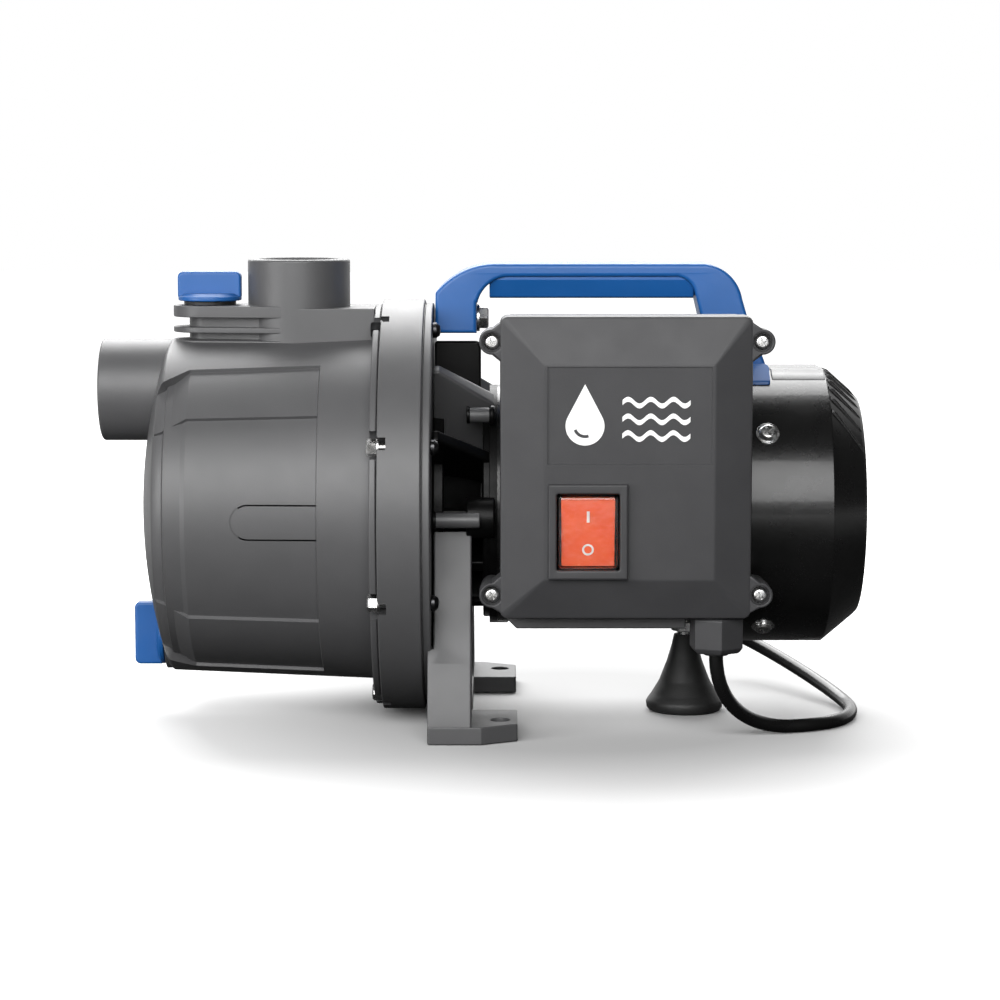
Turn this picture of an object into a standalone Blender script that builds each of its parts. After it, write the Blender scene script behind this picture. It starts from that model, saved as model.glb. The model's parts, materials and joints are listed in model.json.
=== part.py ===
"""Shallow well jet pump: a wet end, a motor, a control box and a carry handle on three feet.

The frame has +X along the shaft towards the motor, +Z up, and the control box on the -Y side.
The origin is on the floor, below the shaft, between the legs of the front foot bracket.
"""
import math

import bmesh
import bpy

MM = 0.001
GAP = 0.3 * MM

# Driving dimensions, in metres.
SHAFT_HEIGHT = 100.0 * MM
SHAFT_RADIUS = 7.0 * MM

CASING_FRONT = -147.2 * MM
CASING_BACK = -33.5 * MM
CASING_DOME = 240.0 * MM
CASING_FRONT_RADIUS = 79.4 * MM
CASING_REAR_RADIUS = 83.5 * MM
CASING_WALL = 4.0 * MM
CASING_FLANGE_RADIUS = 95.5 * MM
CASING_FLANGE_THICKNESS = 3.2 * MM

PORT_RADIUS = 24.0 * MM
PORT_BORE = 16.5 * MM
SUCTION_FACE = -167.0 * MM
SUCTION_HEIGHT = 154.8 * MM
DISCHARGE_X = -73.4 * MM
DISCHARGE_TOP = 217.0 * MM
TOP_PAD_HEIGHT = 195.3 * MM
FILL_X = -115.8 * MM
FILL_BORE = 9.0 * MM
DRAIN_HEIGHT = 37.7 * MM
DRAIN_BORE = 7.0 * MM
DRAIN_FACE = 137.0 * MM

BOLT_COUNT = 8
BOLT_CIRCLE = 92.0 * MM
BOLT_RADIUS = 2.0 * MM

PLATE_FRONT = CASING_BACK + GAP
PLATE_RIM_FRONT = -31.5 * MM
PLATE_RIM_BACK = -13.5 * MM
PLATE_BACK = -9.4 * MM
PLATE_RADIUS = 97.8 * MM
PLATE_BACK_RADIUS = 96.0 * MM

LANTERN_FRONT = PLATE_BACK + GAP
MOTOR_FRONT = 20.0 * MM
MOTOR_BACK = 133.7 * MM
MOTOR_RADIUS = 57.0 * MM
WEB_COUNT = 12
WEB_THICKNESS = 5.5 * MM
WEB_FRONT_RADIUS = 78.0 * MM
SADDLE_RADIUS = 52.0 * MM

COVER_FRONT = 134.0 * MM
COVER_SEAM = 174.8 * MM
COVER_BACK = 191.5 * MM
COVER_FACE_RADIUS = 51.5 * MM
COVER_RADIUS = 65.5 * MM
COVER_SCREW_X = 145.0 * MM
AIR_SLOT_COUNT = 12

FOOT_HALF_SPAN = 87.0 * MM
FOOT_INNER = 43.0 * MM
FOOT_FRONT = -11.0 * MM
FOOT_BACK = 30.0 * MM
FOOT_THICKNESS = 8.0 * MM
FOOT_HOLE_X = 22.0 * MM
FOOT_HOLE_Y = 68.0 * MM
FOOT_HOLE_RADIUS = 4.4 * MM
LEG_FRONT = -8.4 * MM
LEG_BACK = 9.0 * MM
LEG_TOP = 94.0 * MM
REAR_FOOT_X = 111.0 * MM

BOX_LEFT = 22.0 * MM
BOX_RIGHT = 134.0 * MM
BOX_BOTTOM = 59.5 * MM
BOX_TOP = 194.7 * MM
BOX_BACK = -58.0 * MM
BOX_JOINT = -82.0 * MM
BOX_SHOULDER = -98.0 * MM
BOX_FRONT = -104.0 * MM
BOX_WALL = 2.5 * MM
BOX_LUG_X = (18.4 * MM, 138.2 * MM)
BOX_LUG_Z = (70.0 * MM, 183.2 * MM)

SWITCH_X = 61.0 * MM
SWITCH_Z = 99.6 * MM
SWITCH_PIVOT_Y = -99.0 * MM
BEZEL_FRONT = -107.0 * MM
ROCKER_RADIUS = 16.0 * MM
ROCKER_LEAN = 8.0

GLAND_X = 119.6 * MM
GLAND_Y = -85.0 * MM
CABLE_RADIUS = 3.2 * MM

HANDLE_HALF_WIDTH = 14.5 * MM

# Directions that a turned shape or a cylinder points along, as rotations of its own Z axis.
UPRIGHT = (0.0, 0.0, 0.0)
ALONG_X = (0.0, math.pi / 2, 0.0)
ALONG_MINUS_Y = (math.pi / 2, 0.0, 0.0)
# Planes that a flat outline is drawn in, as rotations of its own XY plane.
PLANE_XZ = (math.pi / 2, 0.0, 0.0)
PLANE_YZ = (math.pi / 2, 0.0, math.pi / 2)

SHAFT_ORIGIN = (0.0, 0.0, SHAFT_HEIGHT)

FINISHES = {
    "dark_plastic": ((0.095, 0.095, 0.098), 0.45, 0.0),
    "black_plastic": ((0.012, 0.012, 0.013), 0.35, 0.0),
    "gloss_black": ((0.006, 0.006, 0.007), 0.15, 0.0),
    "blue_plastic": ((0.035, 0.150, 0.500), 0.40, 0.0),
    "red_plastic": ((0.850, 0.080, 0.020), 0.25, 0.0),
    "clear_plastic": ((0.900, 0.900, 0.900), 0.08, 0.0),
    "white_plastic": ((0.750, 0.750, 0.720), 0.40, 0.0),
    "rubber": ((0.015, 0.015, 0.015), 0.65, 0.0),
    "zinc_steel": ((0.620, 0.620, 0.640), 0.25, 1.0),
    "shaft_steel": ((0.500, 0.500, 0.520), 0.30, 1.0),
    "painted_iron": ((0.110, 0.110, 0.112), 0.45, 0.2),
    "copper": ((0.720, 0.270, 0.120), 0.35, 1.0),
    "brass": ((0.720, 0.520, 0.200), 0.30, 1.0),
    "ceramic": ((0.800, 0.780, 0.700), 0.30, 0.0),
}


def clear_scene():
    for item in list(bpy.data.objects):
        bpy.data.objects.remove(item, do_unlink=True)


def collection(name):
    group = bpy.data.collections.new(name)
    bpy.context.scene.collection.children.link(group)
    return group


clear_scene()
PARTS = collection("shallow_well_jet_pump")
CUTTERS = collection("cutters")


def finish(name):
    """The shared material of a finish."""
    existing = bpy.data.materials.get(name)
    if existing:
        return existing
    colour, roughness, metallic = FINISHES[name]
    made = bpy.data.materials.new(name)
    made.use_nodes = True
    shader = made.node_tree.nodes["Principled BSDF"]
    shader.inputs["Base Color"].default_value = (*colour, 1.0)
    shader.inputs["Roughness"].default_value = roughness
    shader.inputs["Metallic"].default_value = metallic
    return made


def add_object(name, mesh, location, rotation):
    item = bpy.data.objects.new(name, mesh)
    item.location = location
    item.rotation_euler = rotation
    PARTS.objects.link(item)
    return item


def dress(item, finish_name, smooth=True):
    """Give a piece its material, and smooth shading where it is round."""
    item.data.materials.clear()
    item.data.materials.append(finish(finish_name))
    if smooth:
        item.data.shade_smooth()
        item.data.set_sharp_from_angle(angle=math.radians(35.0))
    return item


def turned(name, profile, steps, location=SHAFT_ORIGIN, rotation=ALONG_X):
    """Turn (radius, height) points, listed down the outer side, about the piece's own Z axis."""
    shape = bmesh.new()
    points = [shape.verts.new((radius, 0.0, height)) for radius, height in profile]
    for first, second in zip(points, points[1:]):
        shape.edges.new((first, second))
    if profile[0][0] > 0.0:
        shape.edges.new((points[-1], points[0]))
    mesh = bpy.data.meshes.new(name)
    shape.to_mesh(mesh)
    shape.free()
    item = add_object(name, mesh, location, rotation)
    screw = item.modifiers.new("Turn", "SCREW")
    screw.steps = steps
    screw.render_steps = steps
    screw.use_merge_vertices = True
    screw.merge_threshold = 0.01 * MM
    return item


def ring(name, outer, inner, low, high, steps, location=SHAFT_ORIGIN, rotation=ALONG_X):
    profile = [(outer, high), (outer, low), (inner, low), (inner, high)]
    return turned(name, profile, steps, location, rotation)


def box(name, low, high):
    centre = [(first + second) / 2 for first, second in zip(low, high)]
    size = [second - first for first, second in zip(low, high)]
    shape = bmesh.new()
    bmesh.ops.create_cube(shape, size=1.0)
    bmesh.ops.scale(shape, vec=size, verts=shape.verts)
    mesh = bpy.data.meshes.new(name)
    shape.to_mesh(mesh)
    shape.free()
    return add_object(name, mesh, centre, UPRIGHT)


def cylinder(name, radius, low, high, sides, location, rotation, tip_radius=None):
    """A cylinder or cone along the piece's own Z axis, from low to high."""
    shape = bmesh.new()
    end_radius = radius if tip_radius is None else tip_radius
    bmesh.ops.create_cone(
        shape, cap_ends=True, segments=sides, radius1=radius, radius2=end_radius, depth=high - low
    )
    bmesh.ops.translate(shape, vec=(0.0, 0.0, (low + high) / 2), verts=shape.verts)
    mesh = bpy.data.meshes.new(name)
    shape.to_mesh(mesh)
    shape.free()
    return add_object(name, mesh, location, rotation)


def meshed_curve(name, curve, location, rotation):
    """Turn a curve into a closed mesh piece."""
    source = add_object(name, curve, location, rotation)
    bpy.context.view_layer.update()
    mesh = bpy.data.meshes.new_from_object(source.evaluated_get(bpy.context.evaluated_depsgraph_get()))
    bpy.data.objects.remove(source, do_unlink=True)
    shape = bmesh.new()
    shape.from_mesh(mesh)
    bmesh.ops.remove_doubles(shape, verts=shape.verts, dist=0.01 * MM)
    shape.to_mesh(mesh)
    shape.free()
    return add_object(name, mesh, location, rotation)


def plate(name, outlines, low, high, rotation):
    """A flat outline, with any holes, filled from low to high along the plane's normal."""
    curve = bpy.data.curves.new(name, "CURVE")
    curve.dimensions = "2D"
    curve.fill_mode = "BOTH"
    curve.extrude = (high - low) / 2
    for outline in outlines:
        spline = curve.splines.new("POLY")
        spline.points.add(len(outline) - 1)
        for point, (across, up) in zip(spline.points, outline):
            point.co = (across, up, 0.0, 1.0)
        spline.use_cyclic_u = True
    middle = (low + high) / 2
    location = (middle, 0.0, 0.0) if rotation == PLANE_YZ else (0.0, middle, 0.0)
    return meshed_curve(name, curve, location, rotation)


def wire(name, points, radius):
    """A round wire through the points."""
    curve = bpy.data.curves.new(name, "CURVE")
    curve.dimensions = "3D"
    curve.bevel_depth = radius
    curve.bevel_resolution = 2
    curve.use_fill_caps = True
    spline = curve.splines.new("POLY")
    spline.points.add(len(points) - 1)
    for point, place in zip(spline.points, points):
        point.co = (*place, 1.0)
    return meshed_curve(name, curve, UPRIGHT, UPRIGHT)


def combine(target, other, operation):
    """Join another shape to a piece, or cut it away, and keep that shape with the cutters."""
    for group in list(other.users_collection):
        group.objects.unlink(other)
    CUTTERS.objects.link(other)
    other.hide_render = True
    other.display_type = "WIRE"
    boolean = target.modifiers.new(other.name, "BOOLEAN")
    boolean.operation = operation
    boolean.object = other
    return target


def join(target, other):
    return combine(target, other, "UNION")


def cut(target, other):
    return combine(target, other, "DIFFERENCE")


def arc(centre, radius, start, end, count):
    """Points from start to end, in degrees, on a circle in a plane."""
    points = []
    for index in range(count + 1):
        angle = math.radians(start + (end - start) * index / count)
        points.append((centre[0] + radius * math.cos(angle), centre[1] + radius * math.sin(angle)))
    return points


def circle(centre, radius, count):
    return arc(centre, radius, 0.0, 360.0, count)[:-1]


def dome(sphere_radius, apex, rim_radius, count):
    """A dome's (radius, height) points from its rim to its apex."""
    points = []
    for index in range(count + 1):
        radius = rim_radius * (1 - index / count)
        points.append((radius, apex + sphere_radius - math.sqrt(sphere_radius**2 - radius**2)))
    return points


def spun(outline, angle):
    """An outline turned about its plane's origin."""
    cosine, sine = math.cos(angle), math.sin(angle)
    return [(across * cosine - up * sine, across * sine + up * cosine) for across, up in outline]


def around_shaft(radius, angle, x=0.0):
    """A point at a radius from the shaft, at an angle from +Y towards +Z."""
    return (x, radius * math.cos(angle), SHAFT_HEIGHT + radius * math.sin(angle))


# Wet end


def pump_casing():
    inner = dome(CASING_DOME - CASING_WALL, CASING_FRONT + CASING_WALL, CASING_FRONT_RADIUS - CASING_WALL, 3)
    outer = dome(CASING_DOME, CASING_FRONT, CASING_FRONT_RADIUS, 4)
    flange_front = CASING_BACK - CASING_FLANGE_THICKNESS
    profile = list(reversed(inner)) + [
        (CASING_REAR_RADIUS - CASING_WALL, CASING_BACK),
        (CASING_FLANGE_RADIUS, CASING_BACK),
        (CASING_FLANGE_RADIUS, flange_front),
        (CASING_REAR_RADIUS, flange_front),
    ] + outer
    casing = turned("pump_casing", profile, 36)
    pad_low = SHAFT_HEIGHT + CASING_REAR_RADIUS - 6.0 * MM
    join(casing, top_pad(pad_low))
    join(casing, cylinder("discharge_port", PORT_RADIUS, pad_low, DISCHARGE_TOP, 32,
                          (DISCHARGE_X, 0.0, 0.0), UPRIGHT))
    join(casing, cylinder("suction_port", PORT_RADIUS, SUCTION_FACE, -130.5 * MM, 32,
                          (0.0, 0.0, SUCTION_HEIGHT), ALONG_X))
    join(casing, cylinder("drain_boss", 17.8 * MM, -140.0 * MM, -130.0 * MM, 24,
                          (0.0, 0.0, DRAIN_HEIGHT), ALONG_X))
    cut(casing, cylinder("drain_pocket", 15.8 * MM, -160.0 * MM, -DRAIN_FACE, 24,
                         (0.0, 0.0, DRAIN_HEIGHT), ALONG_X))
    cut(casing, cylinder("discharge_bore", PORT_BORE, 160.0 * MM, 230.0 * MM, 24,
                         (DISCHARGE_X, 0.0, 0.0), UPRIGHT))
    cut(casing, cylinder("suction_bore", PORT_BORE, -180.0 * MM, -110.0 * MM, 24,
                         (0.0, 0.0, SUCTION_HEIGHT), ALONG_X))
    cut(casing, cylinder("fill_bore", FILL_BORE, 165.0 * MM, 210.0 * MM, 24, (FILL_X, 0.0, 0.0), UPRIGHT))
    cut(casing, cylinder("drain_bore", DRAIN_BORE, -150.0 * MM, -115.0 * MM, 24,
                         (0.0, 0.0, DRAIN_HEIGHT), ALONG_X))
    for index in range(BOLT_COUNT):
        angle = bolt_angle(index)
        notch = cylinder(f"bolt_notch_{index + 1}", 5.0 * MM, -45.0 * MM, -25.0 * MM, 8,
                         around_shaft(BOLT_CIRCLE, angle), ALONG_X)
        cut(casing, notch)
    return dress(casing, "dark_plastic")


def top_pad(low):
    """The raised pad that carries the discharge port, with the fill plug's boss and fins at its front."""
    half_width = 17.3 * MM
    outline = [(-39.0 * MM, -half_width), (-39.0 * MM, half_width)]
    outline += [(-84.0 * MM, half_width), (-84.0 * MM, -half_width)]
    pad = plate("top_pad", [outline], low, TOP_PAD_HEIGHT, UPRIGHT)
    pad.location = (0.0, 0.0, (low + TOP_PAD_HEIGHT) / 2)
    join(pad, cylinder("fill_neck", 12.5 * MM, low, TOP_PAD_HEIGHT, 24, (FILL_X, 0.0, 0.0), UPRIGHT))
    fin_heights = ((190.0, TOP_PAD_HEIGHT / MM), (182.6, 185.5), (176.6, 179.3))
    for index, (fin_low, fin_high) in enumerate(fin_heights):
        fin_outline = arc((FILL_X, 0.0), half_width, 90.0, 270.0, 12)
        fin_outline += [(-80.0 * MM, -half_width), (-80.0 * MM, half_width)]
        fin = plate(f"fin_{index + 1}", [fin_outline], fin_low * MM, fin_high * MM, UPRIGHT)
        fin.location = (0.0, 0.0, (fin_low + fin_high) / 2 * MM)
        join(pad, fin)
    return pad


def bolt_angle(index):
    return math.radians(22.5 + 360.0 / BOLT_COUNT * index)


def casing_o_ring():
    profile = arc((84.5 * MM, -32.0 * MM), 1.0 * MM, 90.0, -270.0, 6)[:-1]
    return dress(turned("casing_o_ring", profile, 36), "rubber")


def back_plate():
    """The disc that closes the casing: a deep rim, an O-ring groove and a hub bored for the seal."""
    floor = -18.0 * MM
    rim_inner = 78.0 * MM
    groove_floor = -30.6 * MM
    profile = [
        (PLATE_BACK_RADIUS, PLATE_BACK),
        (PLATE_BACK_RADIUS, PLATE_RIM_BACK),
        (PLATE_RADIUS, PLATE_RIM_BACK),
        (PLATE_RADIUS, PLATE_RIM_FRONT),
        (87.6 * MM, PLATE_RIM_FRONT),
        (87.6 * MM, PLATE_FRONT),
        (86.1 * MM, PLATE_FRONT),
        (86.1 * MM, groove_floor),
        (82.9 * MM, groove_floor),
        (82.9 * MM, PLATE_FRONT),
        (rim_inner, PLATE_FRONT),
        (rim_inner, floor),
        (14.0 * MM, floor),
        (14.0 * MM, PLATE_BACK),
    ]
    disc = turned("back_plate", profile, 36)
    for index in range(BOLT_COUNT):
        hole = cylinder(f"bolt_hole_{index + 1}", BOLT_RADIUS + 2 * GAP, -40.0 * MM, 0.0, 8,
                        around_shaft(BOLT_CIRCLE, bolt_angle(index)), ALONG_X)
        cut(disc, hole)
    return dress(disc, "dark_plastic")


def casing_bolts():
    """Eight through bolts, each with a hex head at the casing flange and a round nut behind the plate."""
    for index in range(BOLT_COUNT):
        place = around_shaft(BOLT_CIRCLE, bolt_angle(index))
        bolt = cylinder(f"casing_bolt_{index + 1}", BOLT_RADIUS, -38.0 * MM, -6.0 * MM, 8, place, ALONG_X)
        join(bolt, cylinder(f"bolt_head_{index + 1}", 4.0 * MM, -38.5 * MM, -31.9 * MM, 6, place, ALONG_X))
        nut = cylinder(f"bolt_nut_{index + 1}", 3.6 * MM, PLATE_BACK + GAP, -5.6 * MM, 12, place, ALONG_X)
        join(bolt, nut)
        dress(bolt, "zinc_steel")


def diffuser():
    """The cup around the impeller, with a neck for the ejector and six outlets in its rim."""
    profile = [
        (74.0 * MM, -19.0 * MM),
        (74.0 * MM, -45.0 * MM),
        (18.0 * MM, -45.0 * MM),
        (18.0 * MM, -60.0 * MM),
        (14.5 * MM, -60.0 * MM),
        (14.5 * MM, -42.0 * MM),
        (68.0 * MM, -42.0 * MM),
        (68.0 * MM, -19.0 * MM),
    ]
    cup = turned("diffuser", profile, 36)
    for index in range(6):
        slot = box(f"diffuser_outlet_{index + 1}", (-5.0 * MM, -8.0 * MM, -80.0 * MM),
                   (5.0 * MM, 8.0 * MM, -60.0 * MM))
        angle = math.radians(60.0 * index + 15.0)
        slot.rotation_euler = (angle, 0.0, 0.0)
        slot.location = around_shaft(70.0 * MM, angle - math.pi / 2, -32.0 * MM)
        cut(cup, slot)
    return dress(cup, "white_plastic")


def ejector_nozzle():
    profile = [
        (5.5 * MM, -119.0 * MM),
        (10.0 * MM, -134.0 * MM),
        (12.0 * MM, -134.0 * MM),
        (12.0 * MM, -142.3 * MM),
        (6.5 * MM, -142.3 * MM),
        (3.0 * MM, -119.0 * MM),
    ]
    return dress(turned("ejector_nozzle", profile, 24), "brass")


def ejector_venturi():
    profile = [
        (14.0 * MM, -46.0 * MM),
        (14.0 * MM, -66.0 * MM),
        (10.0 * MM, -100.0 * MM),
        (15.0 * MM, -116.0 * MM),
        (12.5 * MM, -116.0 * MM),
        (5.0 * MM, -104.0 * MM),
        (5.0 * MM, -96.0 * MM),
        (11.0 * MM, -46.0 * MM),
    ]
    return dress(turned("ejector_venturi", profile, 24), "white_plastic")


def seal_seat():
    return dress(ring("seal_seat", 13.6 * MM, 9.0 * MM, -18.0 * MM, -12.0 * MM, 24), "ceramic")


def threaded_plug(name, low, disc_low, disc_high, wing_high, bore, location, rotation):
    """A wing plug: a plain shank, a round disc and a flat wing to turn it by."""
    plug = cylinder(name, bore - 0.5 * MM, low, disc_high, 24, location, rotation)
    join(plug, cylinder(f"{name}_disc", 15.0 * MM, disc_low, disc_high, 24, location, rotation))
    wing_low = disc_high - 1.0 * MM
    wing = box(f"{name}_wing", (-15.0 * MM, -4.0 * MM, wing_low), (15.0 * MM, 4.0 * MM, wing_high))
    middle = (disc_high - 1.0 * MM + wing_high) / 2
    if rotation == UPRIGHT:
        wing.location = (location[0], location[1], middle)
    else:
        wing.rotation_euler = (0.0, -math.pi / 2, 0.0)
        wing.location = (-middle, location[1], location[2])
    join(plug, wing)
    return dress(plug, "blue_plastic")


def fill_plug():
    disc_low = TOP_PAD_HEIGHT + 2.0 * MM
    place = (FILL_X, 0.0, 0.0)
    threaded_plug("fill_plug", disc_low - 12.0 * MM, disc_low, disc_low + 2.6 * MM, 211.0 * MM, FILL_BORE,
                  place, UPRIGHT)
    seal = ring("fill_plug_o_ring", 12.4 * MM, 9.0 * MM, TOP_PAD_HEIGHT + GAP, disc_low - GAP, 24,
                place, UPRIGHT)
    dress(seal, "rubber")


def drain_plug():
    """The same wing plug, pointing forward out of the foot of the casing."""
    disc_low = DRAIN_FACE + 1.7 * MM
    place = (0.0, 0.0, DRAIN_HEIGHT)
    along_minus_x = (0.0, -math.pi / 2, 0.0)
    threaded_plug("drain_plug", disc_low - 12.0 * MM, disc_low, disc_low + 2.6 * MM, 153.5 * MM, DRAIN_BORE,
                  place, along_minus_x)
    seal = ring("drain_plug_o_ring", 10.6 * MM, 7.0 * MM, DRAIN_FACE + GAP, disc_low - GAP, 24,
                place, along_minus_x)
    dress(seal, "rubber")


# Rotor


def shaft():
    profile = [
        (0.0, 171.0 * MM),
        (6.0 * MM, 171.0 * MM),
        (6.0 * MM, 150.0 * MM),
        (SHAFT_RADIUS, 150.0 * MM),
        (SHAFT_RADIUS, -38.0 * MM),
        (4.0 * MM, -38.0 * MM),
        (4.0 * MM, -44.0 * MM),
        (0.0, -44.0 * MM),
    ]
    return dress(turned("shaft", profile, 24), "shaft_steel")


def impeller():
    """A closed impeller: two shrouds joined by curved vanes around a hub."""
    hub_bore = SHAFT_RADIUS + GAP
    back = turned("impeller", [
        (60.0 * MM, -25.0 * MM),
        (60.0 * MM, -27.0 * MM),
        (11.0 * MM, -27.0 * MM),
        (11.0 * MM, -37.5 * MM),
        (hub_bore, -37.5 * MM),
        (hub_bore, -25.0 * MM),
    ], 36)
    centre = (38.0 * MM, 0.0)
    crescent = arc(centre, 20.0 * MM, 60.0, 178.0, 4) + arc(centre, 22.0 * MM, 178.0, 60.0, 4)
    for index in range(6):
        outline = spun(crescent, math.radians(60.0 * index))
        vane = plate(f"impeller_vane_{index + 1}", [outline], -37.0 * MM, -26.0 * MM, PLANE_YZ)
        vane.location.z = SHAFT_HEIGHT
        join(back, vane)
    join(back, ring("impeller_shroud", 60.0 * MM, 14.0 * MM, -38.0 * MM, -36.0 * MM, 36))
    return dress(back, "brass")


def rotor():
    shaft()
    impeller()
    nut = ring("impeller_nut", 7.5 * MM, 5.0 * MM, -43.5 * MM, -38.5 * MM, 6)
    dress(nut, "brass", smooth=False)
    dress(ring("seal_head", 12.0 * MM, SHAFT_RADIUS + GAP, -24.5 * MM, -18.5 * MM, 24), "rubber")
    dress(ring("front_bearing_inner", 10.0 * MM, SHAFT_RADIUS + GAP, 21.0 * MM, 32.0 * MM, 24), "shaft_steel")
    rear_inner = ring("rear_bearing_inner", 10.0 * MM, SHAFT_RADIUS + GAP, 136.0 * MM, 147.0 * MM, 24)
    dress(rear_inner, "shaft_steel")
    dress(ring("rotor_core", 29.0 * MM, SHAFT_RADIUS + GAP, 50.0 * MM, 110.0 * MM, 36), "shaft_steel")
    cooling_fan()


def cooling_fan():
    fan = turned("cooling_fan", [
        (50.0 * MM, 158.0 * MM),
        (50.0 * MM, 156.5 * MM),
        (10.0 * MM, 156.5 * MM),
        (6.3 * MM, 156.5 * MM),
        (6.3 * MM, 168.0 * MM),
        (10.0 * MM, 168.0 * MM),
        (10.0 * MM, 158.0 * MM),
    ], 36)
    for index in range(8):
        angle = math.radians(45.0 * index)
        blade = box(f"fan_blade_{index + 1}", (0.0, -20.0 * MM, -1.0 * MM), (13.0 * MM, 20.0 * MM, 1.0 * MM))
        blade.location = around_shaft(29.5 * MM, angle, 163.0 * MM)
        blade.rotation_euler = (angle, 0.0, 0.0)
        join(fan, blade)
    return dress(fan, "black_plastic")


# Motor


def front_endshield():
    """The lantern between the pump and the motor: a front ring, twelve sloping webs and a bearing wall."""
    shield = turned("front_endshield", [
        (MOTOR_RADIUS, MOTOR_FRONT),
        (MOTOR_RADIUS, 14.0 * MM),
        (14.0 * MM, 14.0 * MM),
        (14.0 * MM, MOTOR_FRONT),
        (18.0 * MM, MOTOR_FRONT),
        (18.0 * MM, 33.0 * MM),
        (22.0 * MM, 33.0 * MM),
        (22.0 * MM, MOTOR_FRONT),
    ], 36)
    join(shield, ring("lantern_ring", 50.0 * MM, 40.0 * MM, LANTERN_FRONT, LANTERN_FRONT + 5.0 * MM, 36))
    for index in range(WEB_COUNT):
        angle = 360.0 / WEB_COUNT * index
        below = 180.0 < angle < 360.0
        reach = 49.0 * MM if below else WEB_FRONT_RADIUS
        end_reach = 49.0 * MM if below else MOTOR_RADIUS
        flat_end = 12.0 * MM if angle == 90.0 else LANTERN_FRONT + 3.0 * MM
        outline = [
            (LANTERN_FRONT, 42.0 * MM),
            (LANTERN_FRONT, reach),
            (flat_end, reach),
            (17.0 * MM, end_reach),
            (17.0 * MM, 42.0 * MM),
        ]
        web = plate(f"web_{index + 1}", [outline], -WEB_THICKNESS / 2, WEB_THICKNESS / 2, PLANE_XZ)
        web.location = SHAFT_ORIGIN
        web.rotation_euler = (math.radians(angle), 0.0, 0.0)
        join(shield, web)
    return dress(shield, "black_plastic")


def stator_housing():
    housing = ring("stator_housing", MOTOR_RADIUS, 54.0 * MM, MOTOR_FRONT + GAP, MOTOR_BACK, 36)
    return dress(housing, "gloss_black")


def slot_places():
    return [math.radians(30.0 * index) for index in range(12)]


def stator_core():
    core = ring("stator_core", 53.6 * MM, 30.0 * MM, 50.0 * MM, 110.0 * MM, 36)
    for index, angle in enumerate(slot_places()):
        slot = cylinder(f"core_slot_{index + 1}", 3.8 * MM, 40.0 * MM, 120.0 * MM, 6,
                        around_shaft(38.0 * MM, angle), ALONG_X)
        cut(core, slot)
    return dress(core, "shaft_steel")


def stator_winding():
    """Two end turns joined by the copper that fills the core's slots."""
    winding = ring("stator_winding", 45.0 * MM, 32.0 * MM, 36.0 * MM, 49.5 * MM, 36)
    join(winding, ring("rear_end_turns", 45.0 * MM, 32.0 * MM, 110.5 * MM, 124.0 * MM, 36))
    for index, angle in enumerate(slot_places()):
        bar = cylinder(f"slot_copper_{index + 1}", 3.0 * MM, 40.0 * MM, 120.0 * MM, 6,
                       around_shaft(38.0 * MM, angle), ALONG_X)
        join(winding, bar)
    return dress(winding, "copper")


def bearings():
    dress(ring("front_bearing_outer", 17.6 * MM, 14.2 * MM, 20.4 * MM, 32.0 * MM, 24), "shaft_steel")
    dress(ring("rear_bearing_outer", 17.6 * MM, 14.2 * MM, 136.0 * MM, 147.0 * MM, 24), "shaft_steel")


def rear_endshield():
    shield = turned("rear_endshield", [
        (18.0 * MM, 148.0 * MM),
        (22.0 * MM, 148.0 * MM),
        (22.0 * MM, 140.0 * MM),
        (53.0 * MM, 140.0 * MM),
        (53.0 * MM, COVER_FRONT),
        (14.0 * MM, COVER_FRONT),
        (14.0 * MM, 135.6 * MM),
        (18.0 * MM, 135.6 * MM),
    ], 36)
    return dress(shield, "black_plastic")


def rear_cover():
    """The fan cover: a smooth drum with a bevelled end and twelve air slots in its rear face."""
    wall = 2.5 * MM
    outer = [
        (0.0, COVER_BACK),
        (COVER_FACE_RADIUS, COVER_BACK),
        (COVER_FACE_RADIUS + 1.4 * MM, COVER_BACK - 1.4 * MM),
        (COVER_RADIUS, COVER_SEAM),
        (COVER_RADIUS, COVER_FRONT),
    ]
    inner = [
        (COVER_RADIUS - wall, COVER_FRONT),
        (COVER_RADIUS - wall, COVER_SEAM - 1.0 * MM),
        (COVER_FACE_RADIUS - 0.4 * MM, COVER_BACK - wall),
        (0.0, COVER_BACK - wall),
    ]
    cover = turned("rear_cover", outer + inner, 36)
    for index in range(AIR_SLOT_COUNT):
        angle = math.radians(360.0 / AIR_SLOT_COUNT * index)
        far = (6.0 * MM, 10.0 * MM, 1.6 * MM)
        near = [-distance for distance in far]
        slot = box(f"air_slot_{index + 1}", near, far)
        slot.location = around_shaft(25.0 * MM, angle, COVER_BACK)
        slot.rotation_euler = (angle, 0.0, 0.0)
        cut(cover, slot)
    for index in range(4):
        angle = cover_screw_angle(index)
        cut(cover, cylinder(f"cover_screw_hole_{index + 1}", 2.3 * MM, 50.0 * MM, 80.0 * MM, 12,
                            (COVER_SCREW_X, 0.0, SHAFT_HEIGHT), (angle - math.pi / 2, 0.0, 0.0)))
    return dress(cover, "gloss_black")


def cover_screw_angle(index):
    return math.radians(54.0 + 90.0 * index)


def rear_cover_screws():
    for index in range(4):
        rotation = (cover_screw_angle(index) - math.pi / 2, 0.0, 0.0)
        place = (COVER_SCREW_X, 0.0, SHAFT_HEIGHT)
        screw = cylinder(f"rear_cover_screw_{index + 1}", 2.0 * MM, 58.0 * MM, COVER_RADIUS + 1.0 * MM, 12,
                         place, rotation)
        join(screw, cylinder(f"cover_screw_head_{index + 1}", 4.4 * MM, COVER_RADIUS + GAP,
                             COVER_RADIUS + 2.8 * MM, 12, place, rotation))
        dress(screw, "zinc_steel")


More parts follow.
